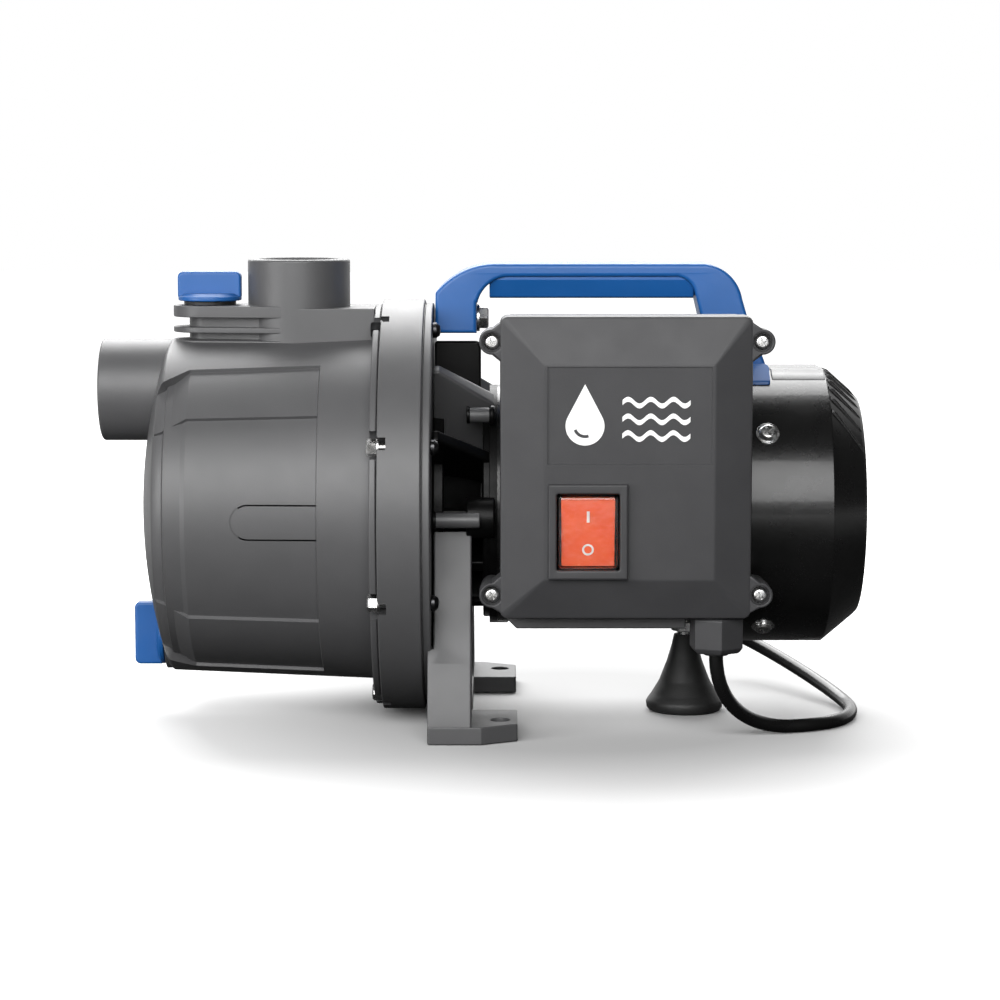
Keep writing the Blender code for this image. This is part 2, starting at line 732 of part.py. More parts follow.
def front_foot():
    """The bracket under the lantern: two legs, a sole bar, a saddle and a bolt-down pad on each side."""
    saddle = arc((0.0, SHAFT_HEIGHT), SADDLE_RADIUS, -15.6, -164.4, 14)
    leg = [(FOOT_HALF_SPAN, 10.0 * MM), (79.0 * MM, 36.0 * MM), (66.0 * MM, 58.0 * MM), (61.0 * MM, LEG_TOP)]
    outline = [(-FOOT_HALF_SPAN, 0.0), (FOOT_HALF_SPAN, 0.0)] + leg + saddle
    outline += [(-across, up) for across, up in reversed(leg)]
    window = [
        (-43.0 * MM, 9.0 * MM),
        (43.0 * MM, 9.0 * MM),
        (37.0 * MM, 34.0 * MM),
        (0.0, 40.0 * MM),
        (-37.0 * MM, 34.0 * MM),
    ]
    bracket = plate("front_foot", [outline, window], LEG_FRONT, LEG_BACK, PLANE_YZ)
    for side in (-1.0, 1.0):
        label = "left" if side > 0 else "right"
        pad_outline = [
            (FOOT_FRONT, side * FOOT_INNER),
            (FOOT_BACK, side * FOOT_INNER),
            (FOOT_BACK, side * (FOOT_HALF_SPAN - 9.0 * MM)),
            (13.5 * MM, side * FOOT_HALF_SPAN),
            (FOOT_FRONT, side * FOOT_HALF_SPAN),
        ]
        pad = plate(f"pad_{label}", [pad_outline], 0.0, FOOT_THICKNESS, UPRIGHT)
        pad.location = (0.0, 0.0, FOOT_THICKNESS / 2)
        join(bracket, pad)
        cut(bracket, cylinder(f"foot_hole_{label}", FOOT_HOLE_RADIUS, -5.0 * MM, 20.0 * MM, 16,
                              (FOOT_HOLE_X, side * FOOT_HOLE_Y, 0.0), UPRIGHT))
        toe_middle = side * (FOOT_HALF_SPAN - 10.0 * MM)
        join(bracket, box(f"toe_{label}", (FOOT_FRONT, toe_middle - 4.0 * MM, 1.0 * MM),
                          (LEG_FRONT + 1.0 * MM, toe_middle + 4.0 * MM, 36.0 * MM)))
    return dress(bracket, "dark_plastic", smooth=False)


def rubber_foot():
    bore = 3.9 * MM
    outline = [(5.6 * MM, 37.0 * MM), (6.2 * MM, 32.0 * MM), (8.6 * MM, 24.0 * MM), (12.2 * MM, 14.5 * MM)]
    outline += [(17.0 * MM, 7.5 * MM), (18.5 * MM, 4.5 * MM), (18.2 * MM, 1.0 * MM)]
    outline += [(17.2 * MM, 0.0), (0.0, 0.0)]
    profile = [(0.0, 26.0 * MM), (bore, 26.0 * MM), (bore, 37.0 * MM)] + outline
    foot = turned("rubber_foot", profile, 24, (REAR_FOOT_X, 0.0, 0.0), UPRIGHT)
    dress(foot, "rubber")
    stud = cylinder("foot_screw", 3.5 * MM, 26.4 * MM, SHAFT_HEIGHT - MOTOR_RADIUS - GAP, 12,
                    (REAR_FOOT_X, 0.0, 0.0), UPRIGHT)
    dress(stud, "zinc_steel")


# Control box


def box_base():
    """The tray that the cover screws onto, with a lower strip and four screw pillars."""
    tray = box("box_base", (BOX_LEFT + 1.5 * MM, BOX_JOINT + GAP, BOX_BOTTOM + 1.0 * MM),
               (BOX_RIGHT - 1.5 * MM, BOX_BACK, BOX_TOP - 1.0 * MM))
    join(tray, box("base_strip", (BOX_LEFT + 3.0 * MM, BOX_JOINT + GAP, 52.5 * MM),
                   (106.0 * MM, BOX_BACK, 70.0 * MM)))
    cut(tray, box("tray_hollow", (BOX_LEFT + 4.0 * MM, -90.0 * MM, BOX_BOTTOM + 3.5 * MM),
                  (BOX_RIGHT - 4.0 * MM, BOX_BACK - BOX_WALL, BOX_TOP - 3.5 * MM)))
    for index, (x, z) in enumerate(lug_places()):
        join(tray, cylinder(f"pillar_{index + 1}", 5.0 * MM, -BOX_JOINT - 18.0 * MM, -BOX_JOINT - GAP, 16,
                            (x, 0.0, z), ALONG_MINUS_Y))
        inward = math.copysign(6.0 * MM, SWITCH_X + 17.0 * MM - x)
        join(tray, box(f"pillar_web_{index + 1}", (min(x, x + inward), BOX_JOINT + GAP, z - 3.0 * MM),
                       (max(x, x + inward), BOX_JOINT + 17.0 * MM, z + 3.0 * MM)))
        cut(tray, cylinder(f"pillar_hole_{index + 1}", 1.9 * MM, -BOX_JOINT - 14.0 * MM, 90.0 * MM, 12,
                           (x, 0.0, z), ALONG_MINUS_Y))
    return dress(tray, "dark_plastic", smooth=False)


def lug_places():
    return [(x, z) for x in BOX_LUG_X for z in BOX_LUG_Z]


def box_gasket():
    outer = [(BOX_LEFT + 4.5 * MM, BOX_BOTTOM + 4.0 * MM), (BOX_RIGHT - 4.5 * MM, BOX_BOTTOM + 4.0 * MM),
             (BOX_RIGHT - 4.5 * MM, BOX_TOP - 4.0 * MM), (BOX_LEFT + 4.5 * MM, BOX_TOP - 4.0 * MM)]
    inner = [(BOX_LEFT + 6.5 * MM, BOX_BOTTOM + 6.0 * MM), (BOX_RIGHT - 6.5 * MM, BOX_BOTTOM + 6.0 * MM),
             (BOX_RIGHT - 6.5 * MM, BOX_TOP - 6.0 * MM), (BOX_LEFT + 6.5 * MM, BOX_TOP - 6.0 * MM)]
    gasket = plate("box_gasket", [outer, inner], BOX_JOINT - 1.5 * MM, BOX_JOINT + 1.5 * MM, PLANE_XZ)
    return dress(gasket, "rubber", smooth=False)


def box_cover():
    """The front shell: straight sides, a sloping frame around a flat face and four round screw lugs."""
    cover = box("box_cover", (BOX_LEFT, BOX_SHOULDER, BOX_BOTTOM), (BOX_RIGHT, BOX_JOINT, BOX_TOP))
    join(cover, sloping_frame())
    for index, (x, z) in enumerate(lug_places()):
        join(cover, cylinder(f"lug_{index + 1}", 5.6 * MM, -BOX_JOINT, -BOX_SHOULDER, 20,
                             (x, 0.0, z), ALONG_MINUS_Y))
        cut(cover, cylinder(f"lug_hole_{index + 1}", 2.3 * MM, 70.0 * MM, 110.0 * MM, 12,
                            (x, 0.0, z), ALONG_MINUS_Y))
    cut(cover, box("cover_hollow", (BOX_LEFT + 4.0 * MM, BOX_SHOULDER + BOX_WALL, BOX_BOTTOM + 3.5 * MM),
                   (BOX_RIGHT - 4.0 * MM, -70.0 * MM, BOX_TOP - 3.5 * MM)))
    cut(cover, box_about_switch("switch_window", 15.0 * MM, 18.6 * MM, -120.0 * MM, -90.0 * MM))
    return dress(cover, "dark_plastic", smooth=False)


def sloping_frame():
    """A four-sided frustum between the cover's shoulder and its flat face."""
    centre_x = (BOX_LEFT + BOX_RIGHT) / 2
    centre_z = (BOX_BOTTOM + BOX_TOP) / 2
    frame = box("sloping_frame", (BOX_LEFT + 1.0 * MM, BOX_FRONT, BOX_BOTTOM + 1.0 * MM),
                (BOX_RIGHT - 1.0 * MM, BOX_SHOULDER + 1.0 * MM, BOX_TOP - 1.0 * MM))
    across = 75.0 * MM / (BOX_RIGHT - BOX_LEFT - 2.0 * MM)
    up = 95.6 * MM / (BOX_TOP - BOX_BOTTOM - 2.0 * MM)
    face_scale = (across, up)
    for vertex in frame.data.vertices:
        if vertex.co.y < 0.0:
            vertex.co.x = vertex.co.x * face_scale[0] + 79.0 * MM - centre_x
            vertex.co.z = vertex.co.z * face_scale[1] + 125.8 * MM - centre_z
    return frame


def box_screws():
    for index, (x, z) in enumerate(lug_places()):
        place = (x, 0.0, z)
        tip, seat = -BOX_JOINT - 12.0 * MM, -BOX_SHOULDER + GAP
        screw = cylinder(f"cover_screw_{index + 1}", 1.6 * MM, tip, seat + 1.0 * MM, 12,
                         place, ALONG_MINUS_Y)
        join(screw, cylinder(f"box_screw_head_{index + 1}", 3.4 * MM, seat, seat + 2.3 * MM, 12,
                             place, ALONG_MINUS_Y))
        dress(screw, "zinc_steel")


def box_contents():
    can = cylinder("capacitor", 15.0 * MM, 75.0 * MM, 150.0 * MM, 24, (110.0 * MM, -78.5 * MM, 0.0), UPRIGHT)
    dress(can, "white_plastic")
    block = box("terminal_block", (34.0 * MM, -80.0 * MM, 150.0 * MM), (84.0 * MM, -61.0 * MM, 168.0 * MM))
    dress(block, "white_plastic", smooth=False)


def switch_body():
    """The switch: a bezel on the cover's face and a hollow body behind it."""
    body = box_about_switch("switch_body", 14.7 * MM, 18.3 * MM, BOX_FRONT - 1.0 * MM, -78.0 * MM)
    join(body, box_about_switch("bezel", 17.7 * MM, 21.3 * MM, BEZEL_FRONT, BOX_FRONT - GAP))
    cut(body, box_about_switch("rocker_well", 13.9 * MM, 17.5 * MM, -130.0 * MM, -89.0 * MM))
    return dress(body, "black_plastic", smooth=False)


def box_about_switch(name, half_width, half_height, front, back):
    """A box centred on the switch, between two depths."""
    return box(name, (SWITCH_X - half_width, front, SWITCH_Z - half_height),
               (SWITCH_X + half_width, back, SWITCH_Z + half_height))


def switch_rocker():
    """The rocker, with its origin on its pivot and ends that are arcs about it, lower half pressed in."""
    lean = ROCKER_LEAN
    outline = arc((0.0, 0.0), ROCKER_RADIUS, 78.0 + lean, 110.0 + lean, 4)
    outline += spun([(-4.6 * MM, 0.0)], math.radians(lean))
    outline += arc((0.0, 0.0), ROCKER_RADIUS, 250.0 + lean, 282.0 + lean, 4)
    rocker = plate("switch_rocker", [outline], -12.2 * MM, 12.2 * MM, PLANE_YZ)
    rocker.location = (SWITCH_X, SWITCH_PIVOT_Y, SWITCH_Z)
    return dress(rocker, "red_plastic", smooth=False)


def switch_boot():
    """The clear splash cap over the rocker, open at the back."""
    front = BEZEL_FRONT - 1.2 * MM
    boot = box_about_switch("switch_boot", 13.6 * MM, 17.2 * MM, front, -93.0 * MM)
    cut(boot, box_about_switch("boot_hollow", 12.8 * MM, 16.4 * MM, front + 0.8 * MM, -80.0 * MM))
    return dress(boot, "clear_plastic", smooth=False)


def gland_nut():
    nut = cylinder("gland_nut", 12.4 * MM, 42.4 * MM, 58.8 * MM, 6, (GLAND_X, GLAND_Y, 0.0), UPRIGHT)
    nut.rotation_euler = (0.0, 0.0, math.radians(12.0))
    cut(nut, cylinder("gland_bore", CABLE_RADIUS + 2 * GAP, 30.0 * MM, 57.0 * MM, 12,
                      (GLAND_X, GLAND_Y, 0.0), UPRIGHT))
    return dress(nut, "dark_plastic", smooth=False)


def bezier(start, first, second, end, count):
    points = []
    for index in range(count + 1):
        t = index / count
        weights = ((1 - t) ** 3, 3 * t * (1 - t) ** 2, 3 * t**2 * (1 - t), t**3)
        corners = (start, first, second, end)
        points.append(tuple(sum(weight * corner[axis] for weight, corner in zip(weights, corners))
                            for axis in range(3)))
    return points


def power_cable():
    """The cable drops out of the gland, lies on the floor in a loop and rises to its cut end behind the motor."""
    floor = CABLE_RADIUS
    top = (GLAND_X, GLAND_Y, 41.0 * MM)
    touch = (158.0 * MM, -58.0 * MM, floor)
    far = (189.5 * MM, -10.0 * MM, floor)
    end = (143.0 * MM, 90.0 * MM, 22.0 * MM)
    points = [(GLAND_X, GLAND_Y, 56.5 * MM)]
    points += bezier(top, (GLAND_X, GLAND_Y, 20.0 * MM), (128.0 * MM, -66.0 * MM, floor), touch, 7)
    points += bezier(touch, (178.0 * MM, -52.6 * MM, floor), (190.5 * MM, -30.0 * MM, floor), far, 6)[1:]
    points += bezier(far, (188.0 * MM, 15.0 * MM, 4.5 * MM), (165.0 * MM, 62.0 * MM, 15.0 * MM), end, 6)[1:]
    return dress(wire("power_cable", points, CABLE_RADIUS), "rubber")


# Handle


def carry_handle():
    """A moulded bow from the back plate to the top of the rear cover, with a slimmer grip."""
    outline = [(-8.7 * MM, 182.4 * MM), (11.0 * MM, 182.4 * MM), (11.0 * MM, 196.0 * MM)]
    outline += arc((26.0 * MM, 194.0 * MM), 12.0 * MM, 165.0, 112.0, 3)
    outline += [(108.0 * MM, 205.1 * MM)]
    outline += [(113.0 * MM, 200.0 * MM), (116.0 * MM, 190.0 * MM)]
    outline += [(134.0 * MM, 170.0 * MM), (134.0 * MM, 155.0 * MM)]
    outline += [(148.5 * MM, 155.0 * MM), (148.5 * MM, 167.0 * MM), (138.0 * MM, 191.0 * MM)]
    outline += arc((116.5 * MM, 195.1 * MM), 20.0 * MM, 12.0, 90.0, 5)
    outline += arc((20.0 * MM, 187.1 * MM), 28.0 * MM, 90.0, 150.0, 5)
    outline += [(-8.7 * MM, 196.0 * MM)]
    handle = plate("carry_handle", [outline], -HANDLE_HALF_WIDTH, HANDLE_HALF_WIDTH, PLANE_XZ)
    join(handle, box("grip", (20.0 * MM, -10.0 * MM, 198.7 * MM), (113.0 * MM, 10.0 * MM, 208.0 * MM)))
    join(handle, box("saddle", (134.0 * MM, -28.0 * MM, 155.0 * MM), (148.5 * MM, 28.0 * MM, 170.0 * MM)))
    reach = COVER_RADIUS + GAP
    cut(handle, cylinder("cover_clearance", reach, 125.0 * MM, 160.0 * MM, 48, SHAFT_ORIGIN, ALONG_X))
    bolt_place = (0.0, 0.0, 189.0 * MM)
    cut(handle, cylinder("handle_bolt_hole", 2.8 * MM, -20.0 * MM, 20.0 * MM, 12, bolt_place, ALONG_X))
    screw_place = (141.0 * MM, 0.0, 0.0)
    cut(handle, cylinder("handle_screw_hole", 2.4 * MM, 150.0 * MM, 200.0 * MM, 12, screw_place, UPRIGHT))
    cut(handle, cylinder("handle_counterbore", 4.8 * MM, 172.0 * MM, 200.0 * MM, 16, screw_place, UPRIGHT))
    dress(handle, "blue_plastic", smooth=False)
    handle_bolt(bolt_place)
    handle_screw(screw_place)


def handle_bolt(place):
    """The hex bolt and washer that hold the handle to the back plate."""
    bolt = cylinder("handle_bolt", 2.4 * MM, LANTERN_FRONT + GAP, 13.0 * MM, 12, place, ALONG_X)
    join(bolt, cylinder("handle_bolt_washer", 6.4 * MM, 11.3 * MM, 12.6 * MM, 16, place, ALONG_X))
    join(bolt, cylinder("handle_bolt_head", 5.0 * MM, 12.0 * MM, 16.0 * MM, 6, place, ALONG_X))
    dress(bolt, "zinc_steel")


def handle_screw(place):
    """The screw that holds the handle's rear saddle down on the cover."""
    screw = cylinder("handle_screw", 2.0 * MM, 166.0 * MM, 173.0 * MM, 12, place, UPRIGHT)
    join(screw, cylinder("handle_screw_head", 4.2 * MM, 172.3 * MM, 175.0 * MM, 16, place, UPRIGHT))
    dress(screw, "zinc_steel")


def build():
    pump_casing()
    casing_o_ring()
    back_plate()
    casing_bolts()
    diffuser()
    ejector_nozzle()
    ejector_venturi()
    seal_seat()
    fill_plug()
    drain_plug()
    rotor()
    front_endshield()
    stator_housing()
    stator_core()
    stator_winding()
    bearings()
    rear_endshield()
    rear_cover()
    rear_cover_screws()
    front_foot()
    rubber_foot()
    box_base()
    box_gasket()
    box_cover()
    box_screws()
    box_contents()
    switch_body()
    switch_rocker()
    switch_boot()
    gland_nut()
    power_cable()
    carry_handle()


build()
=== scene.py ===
"""The looks of the shallow well jet pump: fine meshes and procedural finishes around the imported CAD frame.

Shapes are worked out in millimetres. The stage, the lights and the patterns are in metres.
"""

import json
import math

import bmesh
import bpy
from mathutils import Matrix, Vector


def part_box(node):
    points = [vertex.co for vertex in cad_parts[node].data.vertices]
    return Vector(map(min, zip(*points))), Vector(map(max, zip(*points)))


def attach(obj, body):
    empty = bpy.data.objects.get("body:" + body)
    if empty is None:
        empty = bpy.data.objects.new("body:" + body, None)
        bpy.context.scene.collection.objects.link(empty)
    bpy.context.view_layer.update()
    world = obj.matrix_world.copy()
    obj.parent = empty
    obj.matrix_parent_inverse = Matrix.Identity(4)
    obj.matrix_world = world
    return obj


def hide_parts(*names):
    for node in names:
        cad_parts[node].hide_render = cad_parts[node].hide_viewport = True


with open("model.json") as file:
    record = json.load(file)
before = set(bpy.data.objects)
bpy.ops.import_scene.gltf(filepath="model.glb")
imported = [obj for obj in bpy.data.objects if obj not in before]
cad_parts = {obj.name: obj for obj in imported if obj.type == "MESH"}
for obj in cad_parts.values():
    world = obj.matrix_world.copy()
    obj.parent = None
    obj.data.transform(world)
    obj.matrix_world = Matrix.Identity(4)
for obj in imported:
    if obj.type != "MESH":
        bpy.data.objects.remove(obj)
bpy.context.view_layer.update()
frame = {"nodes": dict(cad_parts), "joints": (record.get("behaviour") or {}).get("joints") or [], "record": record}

MM = 0.001


# Places taken from the CAD frame


def box_of(node):
    """The low and high corners of a CAD node's box."""
    low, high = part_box(node)
    return low / MM, high / MM


def middle(node):
    low, high = box_of(node)
    return (low + high) / 2


CASING_LOW, CASING_HIGH = box_of("pump_casing")
PLATE_HIGH = box_of("back_plate")[1]
SHIELD_LOW, SHIELD_HIGH = box_of("front_endshield")
HOUSING_LOW, HOUSING_HIGH = box_of("stator_housing")
COVER_LOW, COVER_HIGH = box_of("rear_cover")
FOOT_LOW, FOOT_HIGH = box_of("front_foot")
BOX_LOW, BOX_HIGH = box_of("box_cover")
TRAY_LOW, TRAY_HIGH = box_of("box_base")
SWITCH_LOW, SWITCH_HIGH = box_of("switch_body")
GLAND_LOW, GLAND_HIGH = box_of("gland_nut")
FILL_LOW, FILL_HIGH = box_of("fill_plug")
DRAIN_LOW, DRAIN_HIGH = box_of("drain_plug")

JOINTS = {joint["name"]: joint for joint in frame["joints"]}
ROCKER_PIVOT = Vector(JOINTS["rocker_tilt"]["pos_m"]) / MM

SHAFT_Z = middle("shaft").z
CASING_BACK = CASING_HIGH.x
PLATE_RADIUS = PLATE_HIGH.z - SHAFT_Z
MOTOR_RADIUS = (HOUSING_HIGH.z - HOUSING_LOW.z) / 2
COVER_RADIUS = (COVER_HIGH.z - COVER_LOW.z) / 2

AXIS_X = Vector((1, 0, 0))
AXIS_Y = Vector((0, 1, 0))
AXIS_Z = Vector((0, 0, 1))

# Points on the axes that things turn about
SHAFT = Vector((0, 0, SHAFT_Z))
SUCTION = Vector((0, 0, 154.8))
DISCHARGE = Vector((-73.4, 0, 0))
FILL = Vector((middle("fill_plug").x, 0, 0))
DRAIN = Vector((0, 0, middle("drain_plug").z))


# Outlines and profiles


def arc(centre, radius, start, end, steps):
    """Points from start to end, in degrees, on a circle in a plane."""
    points = []
    for index in range(steps + 1):
        angle = math.radians(start + (end - start) * index / steps)
        points.append((centre[0] + radius * math.cos(angle), centre[1] + radius * math.sin(angle)))
    return points


def circle(centre, radius, steps=48):
    return arc(centre, radius, 0, 360, steps)[:-1]


def rounded(points, radius, closed=True, steps=5):
    """The outline with its corners rounded to a radius, or to as much of it as the sides allow."""
    flat, folded, side_share = math.radians(88), math.radians(1), 0.45
    result = []
    count = len(points)
    for index, point in enumerate(points):
        if not closed and index in (0, count - 1):
            result.append(tuple(point))
            continue
        corner = Vector(point)
        before = Vector(points[index - 1]) - corner
        after = Vector(points[(index + 1) % count]) - corner
        half_angle = before.angle(after, math.pi) / 2
        if half_angle > flat or half_angle < folded:
            result.append(tuple(point))
            continue
        reach = min(radius / math.tan(half_angle), before.length * side_share, after.length * side_share)
        start = before.normalized() * reach
        end = after.normalized() * reach
        centre = (start + end) / (2 * math.cos(half_angle) ** 2)
        first, last = start - centre, end - centre
        for step in range(steps + 1):
            spoke = first.lerp(last, step / steps).normalized() * first.length
            result.append(tuple(corner + centre + spoke))
    return result


def rectangle(low, high):
    return [(low[0], low[1]), (high[0], low[1]), (high[0], high[1]), (low[0], high[1])]


def centred(centre, half_width, half_height):
    """A rectangle about a centre."""
    across, up = centre
    return rectangle((across - half_width, up - half_height), (across + half_width, up + half_height))


def mirrored(points):
    """The points on the other side of the upright centre line, in reverse order."""
    return [(-across, up) for across, up in reversed(points)]


def belt(first, first_radius, second, second_radius, steps=24):
    """The outline of a belt around two circles whose centres lie along the first axis."""
    gap = second[0] - first[0]
    lean = math.degrees(math.asin((second_radius - first_radius) / gap))
    near = arc(first, first_radius, 90 + lean, 270 - lean, steps)
    return near + arc(second, second_radius, -90 - lean, 90 + lean, steps)


# Mesh builders

POLE_RADIUS = 0.0001
WELD_GAP = 0.001


def add_object(name, data):
    made = bpy.data.objects.new(name, data)
    bpy.context.scene.collection.objects.link(made)
    return made


def new_piece(name, shape):
    """Turn a bmesh in millimetres into a piece, with its faces pointing out."""
    bmesh.ops.scale(shape, vec=(MM, MM, MM), verts=shape.verts)
    bmesh.ops.recalc_face_normals(shape, faces=shape.faces)
    mesh = bpy.data.meshes.new(name)
    shape.to_mesh(mesh)
    shape.free()
    return add_object(name, mesh)


def skin(name, rows):
    """A closed surface through rows of points; a row of one point is a pole."""
    shape = bmesh.new()
    lines = [[shape.verts.new(point) for point in row] for row in rows]
    for upper, lower in zip(lines, lines[1:]):
        count = max(len(upper), len(lower))
        for index in range(count):
            following = (index + 1) % count
            if len(upper) == 1:
                shape.faces.new((upper[0], lower[index], lower[following]))
            elif len(lower) == 1:
                shape.faces.new((upper[index], upper[following], lower[0]))
            else:
                shape.faces.new((upper[index], upper[following], lower[following], lower[index]))
    return new_piece(name, shape)


def lathe(name, profile, origin, axis, segments=128):
    """Turn (radius, distance along axis) points about an axis. Open profiles end on the axis."""
    turn = axis.to_track_quat("Z", "Y").to_matrix()
    rows = []
    for radius, along in profile:
        if radius < POLE_RADIUS:
            rows.append([origin + turn @ Vector((0, 0, along))])
            continue
        row = []
        for index in range(segments):
            angle = 2 * math.pi * index / segments
            spot = Vector((radius * math.cos(angle), radius * math.sin(angle), along))
            row.append(origin + turn @ spot)
        rows.append(row)
    hollow = profile[0][0] > POLE_RADIUS
    if hollow:
        rows.append(rows[0])
    piece = skin(name, rows)
    if hollow:
        weld(piece)
    return piece


def weld(piece):
    """Join points that coincide."""
    shape = bmesh.new()
    shape.from_mesh(piece.data)
    bmesh.ops.remove_doubles(shape, verts=shape.verts, dist=WELD_GAP * MM)
    bmesh.ops.recalc_face_normals(shape, faces=shape.faces)
    shape.to_mesh(piece.data)
    shape.free()


# Each plane: the turn from a flat curve to it, and the axis that its depths are measured along.
PLANES = {
    "XY": (Matrix.Identity(4), AXIS_Z),
    "XZ": (Matrix.Rotation(math.pi / 2, 4, "X"), AXIS_Y),
    "YZ": (Matrix.Rotation(math.pi / 2, 4, "Z") @ Matrix.Rotation(math.pi / 2, 4, "X"), AXIS_X),
}


def slab(name, outlines, low, high, plane, edge=0.5):
    """A flat outline, with any holes, filled between two depths of a plane, with rounded edges."""
    curve = bpy.data.curves.new(name, "CURVE")
    curve.dimensions = "2D"
    curve.fill_mode = "BOTH"
    curve.extrude = ((high - low) / 2 - edge) * MM
    curve.bevel_depth = edge * MM
    curve.bevel_resolution = 2
    curve.offset = -edge * MM
    curve.use_fill_caps = True
    for outline in outlines:
        spline = curve.splines.new("POLY")
        spline.points.add(len(outline) - 1)
        for point, (across, up) in zip(spline.points, outline):
            point.co = (across * MM, up * MM, 0, 1)
        spline.use_cyclic_u = True
    source = add_object(name, curve)
    turn, normal = PLANES[plane]
    source.matrix_world = Matrix.Translation(normal * (low + high) / 2 * MM) @ turn
    return baked(source)


def baked(source):
    """The piece as a plain mesh in the frame's own coordinates, with its modifiers applied."""
    bpy.context.view_layer.update()
    evaluated = source.evaluated_get(bpy.context.evaluated_depsgraph_get())
    mesh = bpy.data.meshes.new_from_object(evaluated)
    mesh.transform(source.matrix_world)
    name = source.name
    bpy.data.objects.remove(source, do_unlink=True)
    piece = add_object(name, mesh)
    weld(piece)
    return piece


def block(name, low, high, edge=0.5, steps=3):
    """A box between two corners with rounded edges."""
    shape = bmesh.new()
    bmesh.ops.create_cube(shape, size=1)
    bmesh.ops.scale(shape, vec=Vector(high) - Vector(low), verts=shape.verts)
    bmesh.ops.translate(shape, vec=(Vector(low) + Vector(high)) / 2, verts=shape.verts)
    if edge > 0:
        bmesh.ops.bevel(shape, geom=shape.edges[:], offset=edge, segments=steps, profile=0.5, affect="EDGES")
    return new_piece(name, shape)


def rod(name, radius, low, high, origin, axis, edge=0.4, segments=48):
    """A cylinder with rounded rims, between two distances along an axis."""
    profile = [(0, high), (radius, high), (radius, low), (0, low)]
    return lathe(name, rounded(profile, edge, closed=False), origin, axis, segments)


def tube(name, outer, inner, low, high, origin, axis, edge=0.4, segments=96):
    """A hollow cylinder with rounded rims, between two distances along an axis."""
    profile = rounded([(outer, high), (outer, low), (inner, low), (inner, high)], edge)
    return lathe(name, profile, origin, axis, segments)


def boolean(piece, others, operation="DIFFERENCE", solver="EXACT"):
    """Cut pieces away from, or join pieces to, a piece, and use them up."""
    for other in others:
        modifier = piece.modifiers.new("Boolean", "BOOLEAN")
        modifier.operation = operation
        modifier.solver = solver
        modifier.object = other
    piece = baked(piece)
    for other in others:
        bpy.data.objects.remove(other, do_unlink=True)
    return piece


def soften(piece, width):
    """Round the sharp edges of a piece."""
    bevel = piece.modifiers.new("Bevel", "BEVEL")
    bevel.width = width * MM
    bevel.segments = 3
    bevel.limit_method = "ANGLE"
    bevel.angle_limit = math.radians(30)
    return baked(piece)


def move(piece, origin, turn=Matrix.Identity(4)):
    """Turn a piece that is built about the frame's origin and set it at a place."""
    piece.data.transform(Matrix.Translation(Vector(origin) * MM) @ turn)
    return piece


def turn_about(piece, origin, axis, angle):
    """Turn a piece about a line."""
    start = Vector(origin) * MM
    turn = Matrix.Translation(start) @ Matrix.Rotation(angle, 4, axis) @ Matrix.Translation(-start)
    piece.data.transform(turn)
    return piece


# Finishes

EVEN = (1, 1, 1)
ALONG_X = (8, 1, 1)


def set_sockets(node, values):
    """Set inputs by name, with the spaces in the names written as underscores."""
    for name, value in values.items():
        node.inputs[name.replace("_", " ")].default_value = value


def add_node(tree, kind, links=(), **values):
    """A shader node with some of its inputs linked to (name, source) pairs and others set."""
    node = tree.nodes.new(f"ShaderNode{kind}")
    set_sockets(node, values)
    for name, source in links:
        tree.links.new(source, node.inputs[name])
    return node


def noise(tree, scale, detail, stretch=EVEN):
    """A noise pattern fixed to the piece, with features about 1 / scale metres across."""
    place = add_node(tree, "TexCoord").outputs["Object"]
    mapping = add_node(tree, "Mapping", [("Vector", place)], Scale=stretch).outputs["Vector"]
    return add_node(tree, "TexNoise", [("Vector", mapping)], Scale=scale, Detail=detail).outputs["Fac"]


def spread(tree, source, low, high, start=0.3, end=0.7):
    """Map the range from start to end, by default a noise pattern's middle, onto low to high."""
    ranges = {"From_Min": start, "From_Max": end, "To_Min": low, "To_Max": high}
    return add_node(tree, "MapRange", [("Value", source)], **ranges).outputs["Result"]


def blend_colours(tree, factor, first, second):
    mix = tree.nodes.new("ShaderNodeMix")
    mix.data_type = "RGBA"
    mix.inputs["A"].default_value = (*first, 1)
    mix.inputs["B"].default_value = (*second, 1)
    tree.links.new(factor, mix.inputs["Factor"])
    return mix.outputs["Result"]


def add_grain(tree, shader, layers):
    """Stack noise bumps; each layer is its scale, its depth in millimetres and any stretch."""
    normal = None
    for scale, depth, *stretch in layers:
        links = [("Height", noise(tree, scale, 2, *stretch))]
        if normal:
            links.append(("Normal", normal))
        normal = add_node(tree, "Bump", links, Distance=depth * MM).outputs["Normal"]
    tree.links.new(normal, shader.inputs["Normal"])


def new_finish(name, gloss, gloss_scale, colours=None, colour_scale=0, grain=(), gloss_stretch=EVEN,
               colour_stretch=EVEN, **sockets):
    """A Principled material whose colour and roughness wander between two values, with a bumpy grain."""
    made = bpy.data.materials.new(name)
    made.use_nodes = True
    tree = made.node_tree
    shader = tree.nodes["Principled BSDF"]
    set_sockets(shader, sockets)
    if colours:
        factor = spread(tree, noise(tree, colour_scale, 4, colour_stretch), 0, 1)
        tree.links.new(blend_colours(tree, factor, *colours), shader.inputs["Base Color"])
    roughness = spread(tree, noise(tree, gloss_scale, 5, gloss_stretch), *gloss)
    tree.links.new(roughness, shader.inputs["Roughness"])
    if grain:
        add_grain(tree, shader, grain)
    return made


def casing_grey():
    """Satin grey moulding with a fine spark-eroded grain."""
    colours = ((0.067, 0.067, 0.069), (0.073, 0.073, 0.075))
    return new_finish("casing_grey", (0.40, 0.45), 90, colours, 40,
                      grain=((2600, 0.04), (60, 0.02)))


